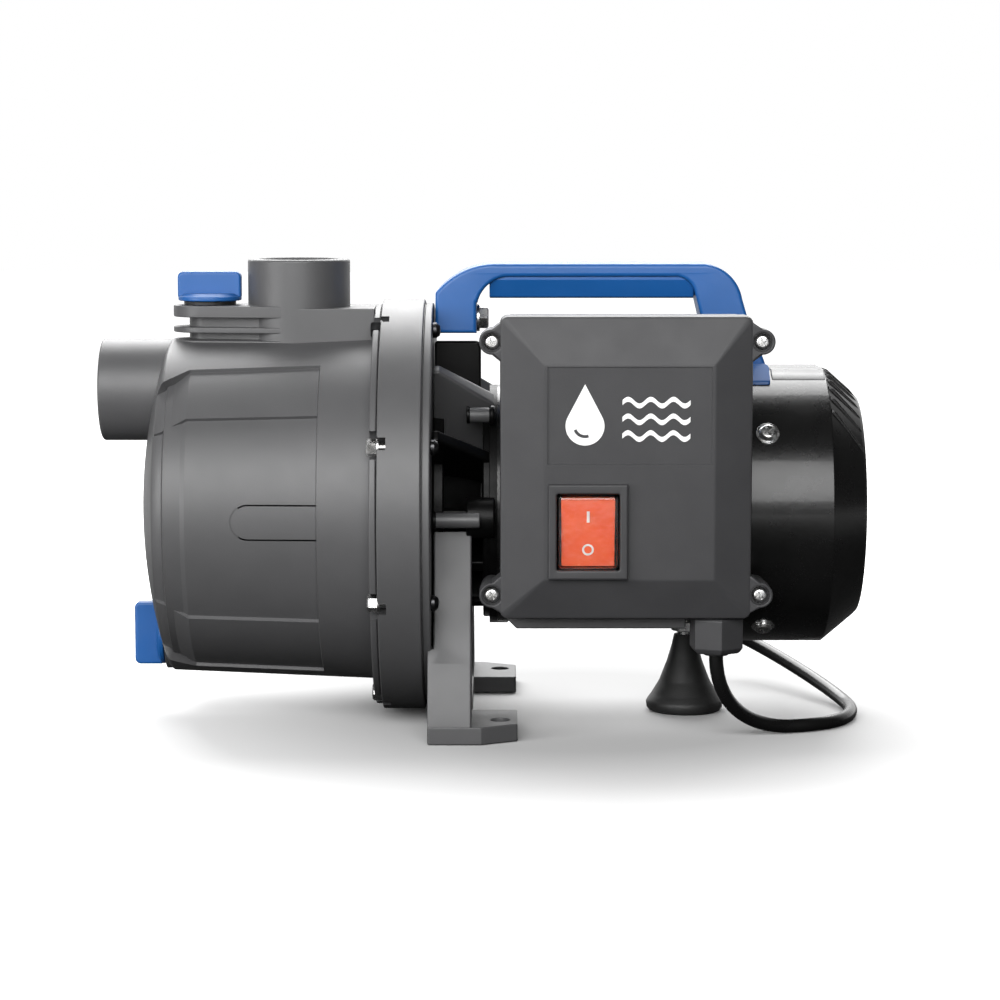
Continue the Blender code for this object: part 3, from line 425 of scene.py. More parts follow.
def dark_plastic():
    """The control box's darker moulding."""
    colours = ((0.037, 0.037, 0.039), (0.043, 0.043, 0.045))
    return new_finish("dark_plastic", (0.41, 0.47), 90, colours, 40,
                      grain=((2600, 0.04), (60, 0.02)), Specular_IOR_Level=0.3)


def black_plastic():
    """Glass-filled moulding, nearly black, with a dull skin."""
    colours = ((0.002, 0.002, 0.002), (0.003, 0.003, 0.003))
    return new_finish("black_plastic", (0.30, 0.46), 120, colours, 50,
                      grain=((1800, 0.05), (80, 0.08)), Specular_IOR_Level=0.14)


def gloss_black():
    """Baked gloss paint with a faint orange peel."""
    colours = ((0.004, 0.004, 0.004), (0.007, 0.007, 0.007))
    return new_finish("gloss_black", (0.25, 0.31), 70, colours, 30,
                      grain=((420, 0.05), (45, 0.12)),
                      Specular_IOR_Level=0.35, Coat_Weight=0.2, Coat_Roughness=0.08)


def blue_plastic():
    """Satin blue moulding for the handle and the plugs."""
    colours = ((0.006, 0.079, 0.270), (0.009, 0.091, 0.310))
    return new_finish("blue_plastic", (0.34, 0.46), 80, colours, 35,
                      grain=((2200, 0.03), (55, 0.05)))


def red_plastic():
    """Glossy red-orange rocker with a little depth to its colour."""
    colours = ((0.960, 0.120, 0.032), (1.000, 0.160, 0.048))
    return new_finish("red_plastic", (0.16, 0.28), 150, colours, 90,
                      grain=((900, 0.02),), Subsurface_Weight=0.15, Subsurface_Scale=0.002)


def clear_plastic():
    """The switch's flexible cap, slightly wavy."""
    return new_finish("clear_plastic", (0.02, 0.07), 60, grain=((130, 0.25),),
                      Base_Color=(1, 0.97, 0.96, 1), Transmission_Weight=1, IOR=1.42)


def white_plastic():
    """Plain off-white moulding."""
    colours = ((0.71, 0.71, 0.67), (0.78, 0.78, 0.75))
    return new_finish("white_plastic", (0.34, 0.48), 100, colours, 45, grain=((1500, 0.03),))


def rubber():
    """Dull black rubber."""
    colours = ((0.012, 0.012, 0.012), (0.022, 0.022, 0.022))
    return new_finish("rubber", (0.42, 0.62), 150, colours, 60,
                      grain=((1400, 0.06), (90, 0.1)), Sheen_Weight=0.04)


def zinc_steel():
    """Bright zinc plate with faint turning marks and clouding."""
    colours = ((0.60, 0.61, 0.62), (0.74, 0.73, 0.71))
    return new_finish("zinc_steel", (0.20, 0.36), 300, colours, 220,
                      grain=((1600, 0.03, (1, 0.2, 1)),), Metallic=1)


def blackened_steel():
    """Black-oxide steel."""
    colours = ((0.035, 0.035, 0.037), (0.07, 0.07, 0.072))
    return new_finish("blackened_steel", (0.26, 0.44), 300, colours, 260,
                      grain=((1500, 0.03),), Metallic=1)


def shaft_steel():
    """Ground steel with marks around the shaft."""
    colours = ((0.44, 0.44, 0.46), (0.56, 0.56, 0.57))
    return new_finish("shaft_steel", (0.22, 0.40), 200, colours, 120,
                      grain=((700, 0.03, ALONG_X),), gloss_stretch=ALONG_X, Metallic=1)


def brass():
    """Turned brass."""
    colours = ((0.62, 0.43, 0.16), (0.78, 0.58, 0.24))
    return new_finish("brass", (0.24, 0.45), 160, colours, 80,
                      grain=((900, 0.04),), Metallic=1)


def copper():
    """Varnished wire, wound along the motor."""
    colours = ((0.62, 0.20, 0.08), (0.80, 0.32, 0.15))
    return new_finish("copper", (0.25, 0.42), 200, colours, 300,
                      grain=((900, 0.3, (0.3, 4, 4)),), colour_stretch=(1, 6, 6), Metallic=1)


def ceramic():
    """Ground seal face."""
    colours = ((0.77, 0.75, 0.67), (0.84, 0.82, 0.75))
    return new_finish("ceramic", (0.18, 0.32), 200, colours, 150, grain=((1200, 0.02),))


def white_print():
    """Thin matt ink."""
    colours = ((0.83, 0.83, 0.82), (0.90, 0.90, 0.89))
    return new_finish("white_print", (0.38, 0.52), 300, colours, 200, grain=((1500, 0.02),))


FINISHES = {
    build.__name__: build()
    for build in (
        casing_grey, dark_plastic, black_plastic, gloss_black, blue_plastic, red_plastic, clear_plastic,
        white_plastic, rubber, zinc_steel, blackened_steel, shaft_steel, brass, copper, ceramic, white_print,
    )
}


def dress_cad_nodes():
    """Every CAD node that stays takes its slot's finish."""
    for subpart in frame["record"]["subparts"]:
        node = frame["nodes"][subpart["node"]]
        node.data.materials.clear()
        node.data.materials.append(FINISHES[subpart["material_slot"]])


def fit(piece, finish, nodes=(), body="pump", sharp=32):
    """Finish a piece, make it move with a body and let it stand for its CAD nodes."""
    piece.data.materials.clear()
    piece.data.materials.append(FINISHES[finish])
    piece.data.shade_smooth()
    piece.data.set_sharp_from_angle(angle=math.radians(sharp))
    normals = piece.modifiers.new("Normals", "WEIGHTED_NORMAL")
    normals.keep_sharp = True
    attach(piece, body)
    if nodes:
        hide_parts(*nodes)
    return piece


# Wet end

PORT_RADIUS = 24.2
PORT_BORE = 16.5
FILL_BORE = 9
PAD_TOP = 195.3
BOLT_CIRCLE = 92
BOLT_COUNT = 8
DOME_RADIUS = 240
DOME_APEX = -147.2
BARREL_FRONT_RADIUS = 79.4
BARREL_REAR_RADIUS = 83.5
BARREL_REAR = CASING_BACK - 4.5
FLANGE_FRONT = CASING_BACK - 3.2
CASING_WALL = 4
CHAMFER_START = -121
CHAMFER_SLOPE = 0.36
TERRACE_END = -61
STEP_WIDTH = 0.5
# Each terrace: bottom and top angle, depth, and how far it narrows in the chamfer, in degrees a millimetre.
TERRACES = ((-66, 57, 1.6, 0.50), (-35.5, 36, 1.6, 0.28))
# How many columns lie below, between and above the four edges of the terraces
COLUMNS = (20, 24, 56, 18, 26)


def smooth_step(value):
    value = min(max(value, 0), 1)
    return value * value * (3 - 2 * value)


def dome_x(radius):
    return DOME_APEX + DOME_RADIUS - math.sqrt(DOME_RADIUS**2 - radius**2)


def barrel_radius(x):
    front = dome_x(BARREL_FRONT_RADIUS)
    share = (x - front) / (BARREL_REAR - front)
    return BARREL_FRONT_RADIUS + (BARREL_REAR_RADIUS - BARREL_FRONT_RADIUS) * share


def terrace_edges(terrace, x):
    """The tilts of a terrace's bottom and top edges at a station."""
    bottom, top, _, narrowing = terrace
    shift = narrowing * max(0, CHAMFER_START - x)
    return bottom + shift, top - shift


def casing_radius(tilt, x):
    """The casing's outer radius at a tilt above or below the horizontal, in degrees, and a station."""
    radius = barrel_radius(x)
    along = smooth_step(0.5 + (TERRACE_END - x) / STEP_WIDTH)
    for order, terrace in enumerate(TERRACES):
        bottom, top = terrace_edges(terrace, x)
        gap = math.radians(min(top - tilt, tilt - bottom)) * radius
        inside = smooth_step(0.5 + gap / STEP_WIDTH)
        radius -= terrace[2] * inside * along
        if order == 0:
            radius -= CHAMFER_SLOPE * max(0, CHAMFER_START - x) * inside
    return radius


def side_tilts(x):
    """Tilts for one side's columns, from straight down to straight up, with extra ones across each step."""
    first, second = (terrace_edges(terrace, x) for terrace in TERRACES)
    half = math.degrees(STEP_WIDTH / barrel_radius(x)) / 2
    keys = [first[0], second[0], second[1], first[1], 90 + half]
    tilts = []
    start = -90
    for key, count in zip(keys, COLUMNS):
        end = key - half
        tilts += [start + (end - start) * index / count for index in range(count)]
        if key < 90:
            tilts += [key - half, key - half / 3, key + half / 3]
            start = key + half
    return tilts


def column_angles(x):
    """Angles about the shaft of every column, from straight down, up the far side and down the near side."""
    far = side_tilts(x)
    near = [180 - tilt for tilt in reversed(far[1:])]
    return [math.radians(angle) for angle in far + [90] + near]


def stations(*spans):
    """Positions along an axis; each span is its start, its end and its number of steps."""
    values = []
    for start, end, count in spans:
        values += [start + (end - start) * index / count for index in range(count)]
    values.append(spans[-1][1])
    return values


def polar(radius, angle, x):
    """The point at a radius and an angle about the shaft."""
    return Vector((x, radius * math.cos(angle), SHAFT_Z + radius * math.sin(angle)))


def ring_row(radius, x):
    if radius < POLE_RADIUS:
        return [Vector((x, 0, SHAFT_Z))]
    return [polar(radius, angle, x) for angle in column_angles(x)]


def tilt_of(angle):
    """Degrees above or below the horizontal, the same on both sides."""
    return math.degrees(math.asin(math.sin(angle)))


def dome_rows():
    """The domed front, from its rounded edge to its middle."""
    front = dome_x(BARREL_FRONT_RADIUS)
    angles = column_angles(front)
    ends = [casing_radius(tilt_of(angle), front) for angle in angles]
    rings = 24
    edge_share, edge_lift = 0.988, 0.3
    rows = []
    for share, lift in [(edge_share, edge_lift)] + [(1 - index / rings, 0) for index in range(1, rings)]:
        reaches = [radius * share for radius in ends]
        rows.append([polar(reach, angle, dome_x(reach) + lift) for reach, angle in zip(reaches, angles)])
    rows.append([Vector((DOME_APEX, 0, SHAFT_Z))])
    return rows


def casing_shell():
    """The drum: a domed front, two terraces on each side and a rear flange, as one closed skin."""
    front = dome_x(BARREL_FRONT_RADIUS)
    half = STEP_WIDTH / 2
    along = stations((BARREL_REAR, TERRACE_END + half, 8), (TERRACE_END + half, TERRACE_END - half, 4),
                     (TERRACE_END - half, CHAMFER_START + STEP_WIDTH, 15),
                     (CHAMFER_START + STEP_WIDTH, CHAMFER_START - STEP_WIDTH, 5),
                     (CHAMFER_START - STEP_WIDTH, front + 1, 12))
    inside = BARREL_REAR_RADIUS - CASING_WALL
    rim = rounded([
        (inside, -60), (inside, CASING_BACK), (CASING_HIGH.y, CASING_BACK), (CASING_HIGH.y, FLANGE_FRONT),
        (BARREL_REAR_RADIUS, FLANGE_FRONT), (BARREL_REAR_RADIUS, BARREL_REAR),
    ], 0.8, closed=False)[:-1]
    inner = []
    for index in range(9):
        radius = (BARREL_FRONT_RADIUS - CASING_WALL) * index / 8
        inner.append((radius, dome_x(radius) + CASING_WALL))
    rows = [ring_row(radius, x) for radius, x in inner + rim]
    for x in along:
        rows.append([polar(casing_radius(tilt_of(angle), x), angle, x) for angle in column_angles(x)])
    return skin("casing_shell", rows + dome_rows())


def casing_groove():
    """The cutter for a shallow U-shaped groove at shaft height, open towards the rear ring."""
    centre = (-92.1, 100.3)
    half_height, half_width, depth = 7.9, 0.35, 0.28
    wide, narrow = half_height + half_width, half_height - half_width
    outline = [(TERRACE_END, centre[1] + wide)] + arc(centre, wide, 90, 270, 24)
    outline += [(TERRACE_END, centre[1] - wide), (TERRACE_END, centre[1] - narrow)]
    outline += arc(centre, narrow, 270, 90, 24) + [(TERRACE_END, centre[1] + narrow)]
    strip = slab("groove_cut", [outline], -90, -60, "XZ", 0)
    start, end = -110, -50
    core = lathe("groove_core", [
        (0, end), (casing_radius(0, TERRACE_END - STEP_WIDTH) - depth, end),
        (casing_radius(0, start) - depth, start), (0, start),
    ], SHAFT, AXIS_X, 180)
    return boolean(strip, [core], solver="MANIFOLD")


def bolt_spot(index, reach=BOLT_CIRCLE):
    return polar(reach, bolt_angle(index), 0)


def bolt_angle(index):
    return math.radians(22.5 + 360 / BOLT_COUNT * index)


def pump_casing():
    """The drum with its openings and bolt notches, and the bosses and ports on it."""
    holes = (
        ("suction_cut", PORT_BORE + 1, -160, -110, SUCTION, AXIS_X),
        ("discharge_cut", PORT_BORE + 1, 160, 200, DISCHARGE, AXIS_Z),
        ("fill_cut", FILL_BORE, 160, 200, FILL, AXIS_Z),
        ("drain_cut", 16, -160, -137, DRAIN, AXIS_X),
    )
    cutters = [rod(*hole, edge=0) for hole in holes]
    for index in range(BOLT_COUNT):
        cutters.append(rod(f"notch_{index}", 7.5, -37.5, -30, bolt_spot(index), AXIS_X, 0, 24))
    cutters.append(casing_groove())
    shell = boolean(casing_shell(), cutters, solver="MANIFOLD")
    fit(shell, "casing_grey", ["pump_casing"], sharp=50)
    fit(tube("drain_boss", 17.2, 7, -138, -130, DRAIN, AXIS_X), "casing_grey")
    fit(lathe("suction_port", port_profile(CASING_LOW.x, -128), SUCTION, AXIS_X), "casing_grey")
    discharge_port()
    filler_boss()


def port_profile(face, root):
    """A pipe port: a rounded rim, a lead-in, a threaded bore and a plain throat; face is where it opens."""
    inward = 1 if root > face else -1
    pitch, crest, valley = 2.3, PORT_BORE + 0.2, PORT_BORE + 1.5
    thread_depth, thread_start, runout = 18, 2.2, 4
    rim = rounded([(PORT_BORE + 3, face), (PORT_RADIUS, face), (PORT_RADIUS, root)], 1.3, closed=False)
    profile = [(PORT_BORE + 2.4, face)] + rim[1:] + [(PORT_BORE + 1.2, root)]
    turns = int(thread_depth / pitch)
    profile.append((crest, face + inward * (turns * pitch + runout)))
    for turn in reversed(range(turns)):
        start = face + inward * (thread_start + turn * pitch)
        for radius, share in ((crest, 0.60), (valley, 0.35), (valley, 0.25), (crest, 0)):
            profile.append((radius, start + inward * share * pitch))
    profile.append((PORT_BORE + 1.8, face + inward * 0.8))
    return profile


def discharge_port():
    """The upright port and the flat pad that it stands on."""
    root = 176
    fit(lathe("discharge_port", port_profile(CASING_HIGH.z, root), DISCHARGE, AXIS_Z), "casing_grey")
    back = FLANGE_FRONT - 0.2
    flat = arc(DISCHARGE.xy, PORT_RADIUS, 90, 270, 32) + [(back, -PORT_RADIUS), (back, PORT_RADIUS)]
    bore = circle(DISCHARGE.xy, PORT_BORE + 1.6)
    fit(slab("discharge_pad", [flat, bore], root, PAD_TOP - 0.8, "XY", 0.6), "casing_grey")


def filler_boss():
    """Three fins around a neck, swept back into the discharge port."""
    hole = circle(FILL.xy, FILL_BORE)
    bore = circle(DISCHARGE.xy, PORT_BORE + 1.6)
    fins = ((189.8, PAD_TOP), (182.6, 185.3), (176.4, 179.1))
    for number, (low, high) in enumerate(fins, 1):
        outline = belt(FILL.xy, 17.3, DISCHARGE.xy, PORT_RADIUS - 0.2)
        fit(slab(f"filler_fin_{number}", [outline, hole, bore], low, high, "XY"), "casing_grey")
    outline = belt(FILL.xy, 9.8, DISCHARGE.xy, PORT_RADIUS - 4)
    fit(slab("filler_neck", [outline, hole, bore], 172, 194, "XY", 0.3), "casing_grey")


def wing_plug(name, origin, axis, seat, tip, across, shank_radius):
    """A plug turned by a flat wing: shank, disc and wing. seat and tip are along the axis."""
    body = f"{name}_plug"
    disc_top, disc_radius, shank_end, half_width = seat + 3.4, 15, seat - 11.5, 15
    profile = rounded([
        (0, disc_top), (disc_radius - 2.5, disc_top), (disc_radius, disc_top - 1.5), (disc_radius, seat),
        (shank_radius, seat), (shank_radius, shank_end), (0, shank_end),
    ], 0.6, closed=False)
    fit(lathe(f"{name}_cap", profile, origin, axis, 96), "blue_plastic", [body], body)
    outline = rounded(rectangle((-half_width, seat), (half_width, tip)), 2.6)
    wing = slab(f"{name}_wing", [outline], -4, 4, "XZ", 1.2)
    turn = Matrix((across, -axis.cross(across), axis)).transposed().to_4x4()
    fit(move(wing, origin, turn), "blue_plastic", body=body)


def plugs():
    """The filler plug stands upright and the drain plug points forward; each disc sits on its O-ring."""
    shank_length = 12
    wing_plug("fill", FILL, AXIS_Z, FILL_LOW.z + shank_length, FILL_HIGH.z, AXIS_X, 8.5)
    wing_plug("drain", DRAIN, -AXIS_X, -DRAIN_HIGH.x + shank_length, -DRAIN_LOW.x, AXIS_Z, 6.5)


def back_ring():
    """The deep rim behind the casing and the thin plate behind it."""
    back, front = PLATE_HIGH.x, CASING_BACK + 0.3
    bore, hollow, web = 14, 78, -18
    step = -13.5
    plate_radius, lip = 96, 0.6
    profile = rounded([
        (bore, back), (plate_radius, back), (plate_radius, step + lip), (plate_radius - 0.8, step + lip),
        (plate_radius - 0.8, step), (PLATE_RADIUS, step), (PLATE_RADIUS, front),
        (hollow, front), (hollow, web), (bore, web),
    ], 0.7)
    pockets = []
    for index in range(BOLT_COUNT):
        spot = bolt_spot(index, BOLT_CIRCLE + 1)
        pockets.append(rod(f"pocket_{index}", 5.6, front - 1, front + 4, spot, AXIS_X, 0, 32))
    ring = boolean(lathe("back_ring", profile, SHAFT, AXIS_X, 256), pockets, solver="MANIFOLD")
    fit(ring, "casing_grey", ["back_plate"], sharp=40)


def casing_bolts():
    """Through bolts: a hex head in front of the rim, a shank across the joint and a dome nut behind."""
    hexagon = [(0, -37.9), (3.3, -37.9), (4.1, -37.2), (4.1, -33.4), (3.9, -33.2), (0, -33.2)]
    dome = rounded([(0, -5.4), (2.4, -5.8), (3.6, -7.4), (3.6, -9.2), (0, -9.2)], 0.5, closed=False)
    # The two top bolts and their washers are black as painted shade for the dark groove between flange and ring;
    # the nuts behind are black oxide.
    dull = (1, 2)
    for index in range(BOLT_COUNT):
        number, spot = index + 1, bolt_spot(index)
        finish = "blackened_steel" if index in dull else "zinc_steel"
        head = lathe(f"casing_bolt_head_{number}", hexagon, spot, AXIS_X, 6)
        turn_about(head, spot, "X", bolt_angle(index))
        fit(head, finish, [f"casing_bolt_{number}"], sharp=20)
        fit(rod(f"casing_bolt_washer_{number}", 4.6, -33.3, -32.2, spot, AXIS_X, 0.2), finish)
        fit(rod(f"casing_bolt_shank_{number}", 2.1, -36, -12, spot, AXIS_X, 0.2), "zinc_steel")
        fit(lathe(f"casing_bolt_nut_{number}", dome, spot, AXIS_X, 32), "blackened_steel")


# Motor

WEB_COUNT = 12


def front_endshield():
    """The lantern: a front ring, a bearing wall, sloping webs with rounded outer edges and stud bosses."""
    front, back = SHIELD_LOW.x, HOUSING_LOW.x - 0.3
    wall_radius, wall_front, bore = 54, 14, 18.5
    wall = rounded([
        (wall_radius, back), (wall_radius, wall_front), (30, wall_front), (41, front), (37, front),
        (bore, 9), (bore, back),
    ], 0.8)
    fit(lathe("lantern_wall", wall, SHAFT, AXIS_X, 160), "black_plastic", ["front_endshield"])
    fit(tube("lantern_ring", 52, 40, front, front + 5, SHAFT, AXIS_X, 0.8, 160), "black_plastic")
    fit(tube("lantern_core", 57, 50, 17, 22, SHAFT, AXIS_X), "black_plastic")
    fit(tube("bearing_hub", 22, 18, back - 1, SHIELD_HIGH.x, SHAFT, AXIS_X), "black_plastic")
    for index in range(WEB_COUNT):
        lantern_web(index, front)
    for number, angle in enumerate((0, 48, 132, 180), 1):
        stud_and_boss(number, angle, front, back)


def stud_and_boss(number, angle, front, back):
    """A stud and the boss behind it; the pair at shaft height stand farther out, on bigger bosses."""
    level = angle in (0, 180)
    boss_reach, boss_radius, boss_start = (56, 9.4, 6.4) if level else (62, 4.4, 17)
    stud_reach, start, end = (66.5, front + 0.3, 12.8) if level else (62, 6.5, 18.5)
    turn = math.radians(angle)
    boss_spot, spot = polar(boss_reach, turn, 0), polar(stud_reach, turn, 0)
    boss = rod(f"stud_boss_{number}", boss_radius, boss_start, back - 0.3, boss_spot, AXIS_X, 1)
    fit(boss, "black_plastic")
    stud = rod(f"stud_{number}", 3.5, start, end, spot, AXIS_X, 0.6)
    fit(stud, "casing_grey")
    fit(rod(f"stud_collar_{number}", 4, start, start + 1.6, spot, AXIS_X), "black_plastic")


def lantern_web(index, front):
    """One web, from the ring to the motor. The top one is long, and those beside it flare and take the lighter
    casing grey as a painted highlight on the black lantern.
    """
    angle = 360 / WEB_COUNT * index
    top = angle == 90
    rib = angle in (60, 120)
    low = angle >= 180 or angle == 0
    low_reach, root, half_thickness = 49.5, 30, 2.75
    reach = low_reach if low else SHIELD_HIGH.y
    end = 13 if top else 19.2
    end_reach = low_reach if low else 74 if top else 61 if rib else 53
    flat_end = end - 1 if top else front + 3
    outline = rounded([
        (front, 41), (front, reach), (flat_end, reach), (end, end_reach), (end, root), (13, root),
        (6, 36),
    ], 1.5)
    web = slab(f"lantern_web_{index + 1}", [outline], -half_thickness, half_thickness, "XZ", 1.2)
    move(web, SHAFT)
    if rib:
        flare(web, front, end)
    turn_about(web, SHAFT, "X", math.radians(angle) - math.pi / 2)
    # The two flared webs are grey as a painted highlight where light falls on the black lantern.
    fit(web, "casing_grey" if rib else "black_plastic")


def flare(web, front, end):
    """Thicken a web steadily towards the motor."""
    extra = 0.9
    for vertex in web.data.vertices:
        share = (vertex.co.x / MM - front) / (end - front)
        vertex.co.y *= 1 + extra * share


def stator_housing():
    """The motor's drum, with a rolled bead at each end."""
    front, back = HOUSING_LOW.x, HOUSING_HIGH.x
    inside, waist = MOTOR_RADIUS - 3, MOTOR_RADIUS - 0.8
    profile = rounded([
        (inside, back), (MOTOR_RADIUS, back), (MOTOR_RADIUS, back - 5), (waist, back - 6),
        (waist, front + 6), (MOTOR_RADIUS, front + 5), (MOTOR_RADIUS, front), (inside, front),
    ], 0.6)
    fit(lathe("motor_drum", profile, SHAFT, AXIS_X, 192), "gloss_black", ["stator_housing"], sharp=50)


COVER_SEAM = 174.8
COVER_WALL = 2.5
COVER_FACE_RADIUS = 51.5
COVER_SCREW_X = 145
AIR_SLOTS = 24
BEVEL_RIBS = (-43, -36, -29, -22, -15, -8, 0, 8, 15, 22, 29, 36, 43)


def rear_cover():
    """The fan cover: a drum, a bevelled shoulder, radial air slots and a flat ridge along its top."""
    front, back = COVER_LOW.x, COVER_HIGH.x
    face, shoulder = COVER_FACE_RADIUS, COVER_FACE_RADIUS + 1.4
    dish, inside = back - 1.6, back - 4.2
    profile = rounded([
        (0, dish), (46, dish), (48, back), (face, back), (shoulder, back - 1.4),
        (COVER_RADIUS, COVER_SEAM), (COVER_RADIUS, front), (COVER_RADIUS - COVER_WALL, front),
        (COVER_RADIUS - COVER_WALL, COVER_SEAM - 1), (face - 0.4, inside), (0, inside),
    ], 1.2, closed=False)
    drum = lathe("rear_cover_drum", profile, SHAFT, AXIS_X, 192)
    slots = []
    for index in range(AIR_SLOTS):
        slot = block(f"air_slot_{index}", (back - 8, 16, -1.5), (back + 6, 34, 1.5), 1.2, 2)
        slots.append(move(slot, SHAFT, Matrix.Rotation(2 * math.pi * index / AIR_SLOTS, 4, "X")))
    drum = boolean(drum, slots, solver="MANIFOLD")
    fit(drum, "gloss_black", ["rear_cover"], sharp=40)
    top = SHAFT_Z + COVER_RADIUS + 0.1
    side = [(24.5, SHAFT_Z + 56), (23.5, SHAFT_Z + 61.4), (17, top)]
    ridge = slab("rear_cover_ridge", [side + mirrored(side)], front + 15.5, COVER_SEAM - 0.4, "YZ")
    fit(ridge, "gloss_black")
    for number, across in enumerate(BEVEL_RIBS, 1):
        bevel_rib(number, across, shoulder, back - 1.4)
    for index in range(4):
        angle = math.radians(54 + 90 * index)
        outward = Vector((0, math.cos(angle), math.sin(angle)))
        cross_screw(f"rear_cover_bolt_{index + 1}", Vector((COVER_SCREW_X, 0, SHAFT_Z)), outward,
                    COVER_RADIUS + 0.2, 4.4, [f"rear_cover_screw_{index + 1}"], washer=5.4)


def bevel_rib(number, across, end_radius, end):
    """A thin rib that runs down the cover's bevel from its seam, at a distance across from the shaft."""
    start_height = SHAFT_Z + math.sqrt(COVER_RADIUS**2 - across**2)
    end_height = SHAFT_Z + math.sqrt(end_radius**2 - across**2)
    proud, sunk, half_thickness = 0.9, 4, 1.3
    outline = [
        (COVER_SEAM + 0.5, start_height - sunk), (COVER_SEAM + 0.5, start_height - 0.2),
        (COVER_SEAM + 3, start_height + (end_height - start_height) * 0.16 + proud),
        (end - 1.5, end_height + 1 + proud), (end + 0.2, end_height - 0.4), (end + 0.2, end_height - sunk),
    ]
    low, high = across - half_thickness, across + half_thickness
    fit(slab(f"rear_cover_rib_{number}", [outline], low, high, "XZ", 0.6), "gloss_black")


def cross_screw(name, origin, axis, seat, radius, nodes, washer=0):
    """A pan-head screw with a cross recess; seat is where its head starts along the axis."""
    height = radius * 0.62
    profile = rounded([
        (0, seat + height), (radius * 0.72, seat + height * 0.92), (radius, seat + height * 0.35),
        (radius, seat), (0, seat),
    ], radius * 0.3, closed=False)
    head = lathe(f"{name}_head", profile, origin, axis, 48)
    arm, half_thickness = radius * 0.58, radius * 0.11
    recess_floor, recess_top = seat + height * 0.45, seat + height * 2
    turn = axis.to_track_quat("Z", "Y").to_matrix().to_4x4() @ Matrix.Rotation(math.radians(25), 4, "Z")
    cutters = []
    for number, (across, up) in enumerate(((arm, half_thickness), (half_thickness, arm))):
        cutter = block(f"{name}_cross_{number}", (-across, -up, recess_floor), (across, up, recess_top),
                       radius * 0.05, 1)
        cutters.append(move(cutter, origin, turn))
    fit(boolean(head, cutters), "zinc_steel", nodes, sharp=28)
    if washer:
        plate = tube(f"{name}_washer", washer, radius * 0.5, seat - 1, seat + 0.3, origin, axis, 0.2, 48)
        fit(plate, "zinc_steel")


def front_foot():
    """The bracket: a saddle on two legs, a sole bar and a bolt-down pad with one hole on each side."""
    low, high = -8.4, 9
    sole, half_span = 0.3, FOOT_HIGH.y
    toe_inner, toe_top = 67, 42
    outer = half_span - 0.5
    leg = [(outer, 10), (79, 36), (66, 58), (61, FOOT_HIGH.z)]
    outline = [(-outer, sole), (outer, sole)] + leg
    outline += arc((0, SHAFT_Z), 52.6, -15.6, -164.4, 40) + mirrored(leg)
    window = rounded([(-43, 9), (43, 9), (37, 34), (0, 40), (-37, 34)], 4)
    bracket = slab("foot_bracket", [outline, window], low, high, "YZ", 0.9)
    toe = [(toe_inner, sole), (outer, sole), leg[0], leg[1], (75.5, toe_top), (toe_inner, toe_top)]
    toes = []
    for number, side in enumerate((-1, 1), 1):
        outline = [(side * across, up) for across, up in toe]
        toes.append(slab(f"foot_toe_{number}", [outline], FOOT_LOW.x, low + 4, "YZ"))
    fit(boolean(bracket, toes, "UNION"), "casing_grey", ["front_foot"])
    for label, side in (("right", -1), ("left", 1)):
        inner, corner = side * 43, side * (half_span - 9)
        pad = rounded([
            (FOOT_LOW.x, inner), (FOOT_HIGH.x, inner), (FOOT_HIGH.x, corner), (13.5, side * half_span),
            (FOOT_LOW.x, side * half_span),
        ], 1.2)
        hole = circle((22, side * 68), 4.4)
        fit(slab(f"foot_pad_{label}", [pad, hole], 0, 8, "XY", 0.6), "casing_grey")


def rubber_foot():
    """A cone that flares to a rounded sole, on a steel stud."""
    origin = Vector((middle("rubber_foot").x, 0, 0))
    cone = [(5.4, 36.2), (6.2, 32), (8.5, 24), (12.1, 14.5), (15.8, 8.2), (17.8, 5.4)]
    profile = [(0, 26), (3.9, 26), (3.9, 37), (5, 37)]
    profile += rounded(cone, 12, closed=False)
    profile += [(18.5, 4), (18.2, 1.6), (17, 0.2), (16, 0), (0, 0)]
    fit(lathe("foot_cone", profile, origin, AXIS_Z, 96), "rubber", ["rubber_foot"], sharp=60)
    stud = rod("foot_stud", 3.5, 26.4, SHAFT_Z - MOTOR_RADIUS + 1, origin, AXIS_Z)
    fit(stud, "zinc_steel", ["foot_screw"])
    hexagon = [(0, 43.2), (6.2, 43.2), (6.5, 42.8), (6.5, 38.9), (6.2, 38.5), (0, 38.5)]
    fit(lathe("foot_lock_nut", hexagon, origin, AXIS_Z, 6), "zinc_steel", sharp=20)


# Control box

SHOULDER_Y = -98
FACE_Y = BOX_LOW.y
FACE_X = (41.5, 116.8)
FACE_Z = (78, 173.6)
SIDE_X = (22, 134)
SIDE_Z = (BOX_LOW.z, BOX_HIGH.z)
BOX_MIDDLE_X = sum(SIDE_X) / 2
LUG_X = (18.4, 138.2)
LUG_Z = (70, 183.2)
LUGS = [(x, z) for x in LUG_X for z in LUG_Z]
LABEL_DEPTH = 0.7


def shrink(span, by):
    return (span[0] + by, span[1] - by)


def loft_loop(x_span, z_span, by, y, corner):
    """A rounded rectangle that faces the front, with its sides moved inwards."""
    across, up = shrink(x_span, by), shrink(z_span, by)
    outline = rounded(rectangle((across[0], up[0]), (across[1], up[1])), corner, steps=6)
    return [Vector((x, y, z)) for x, z in outline]


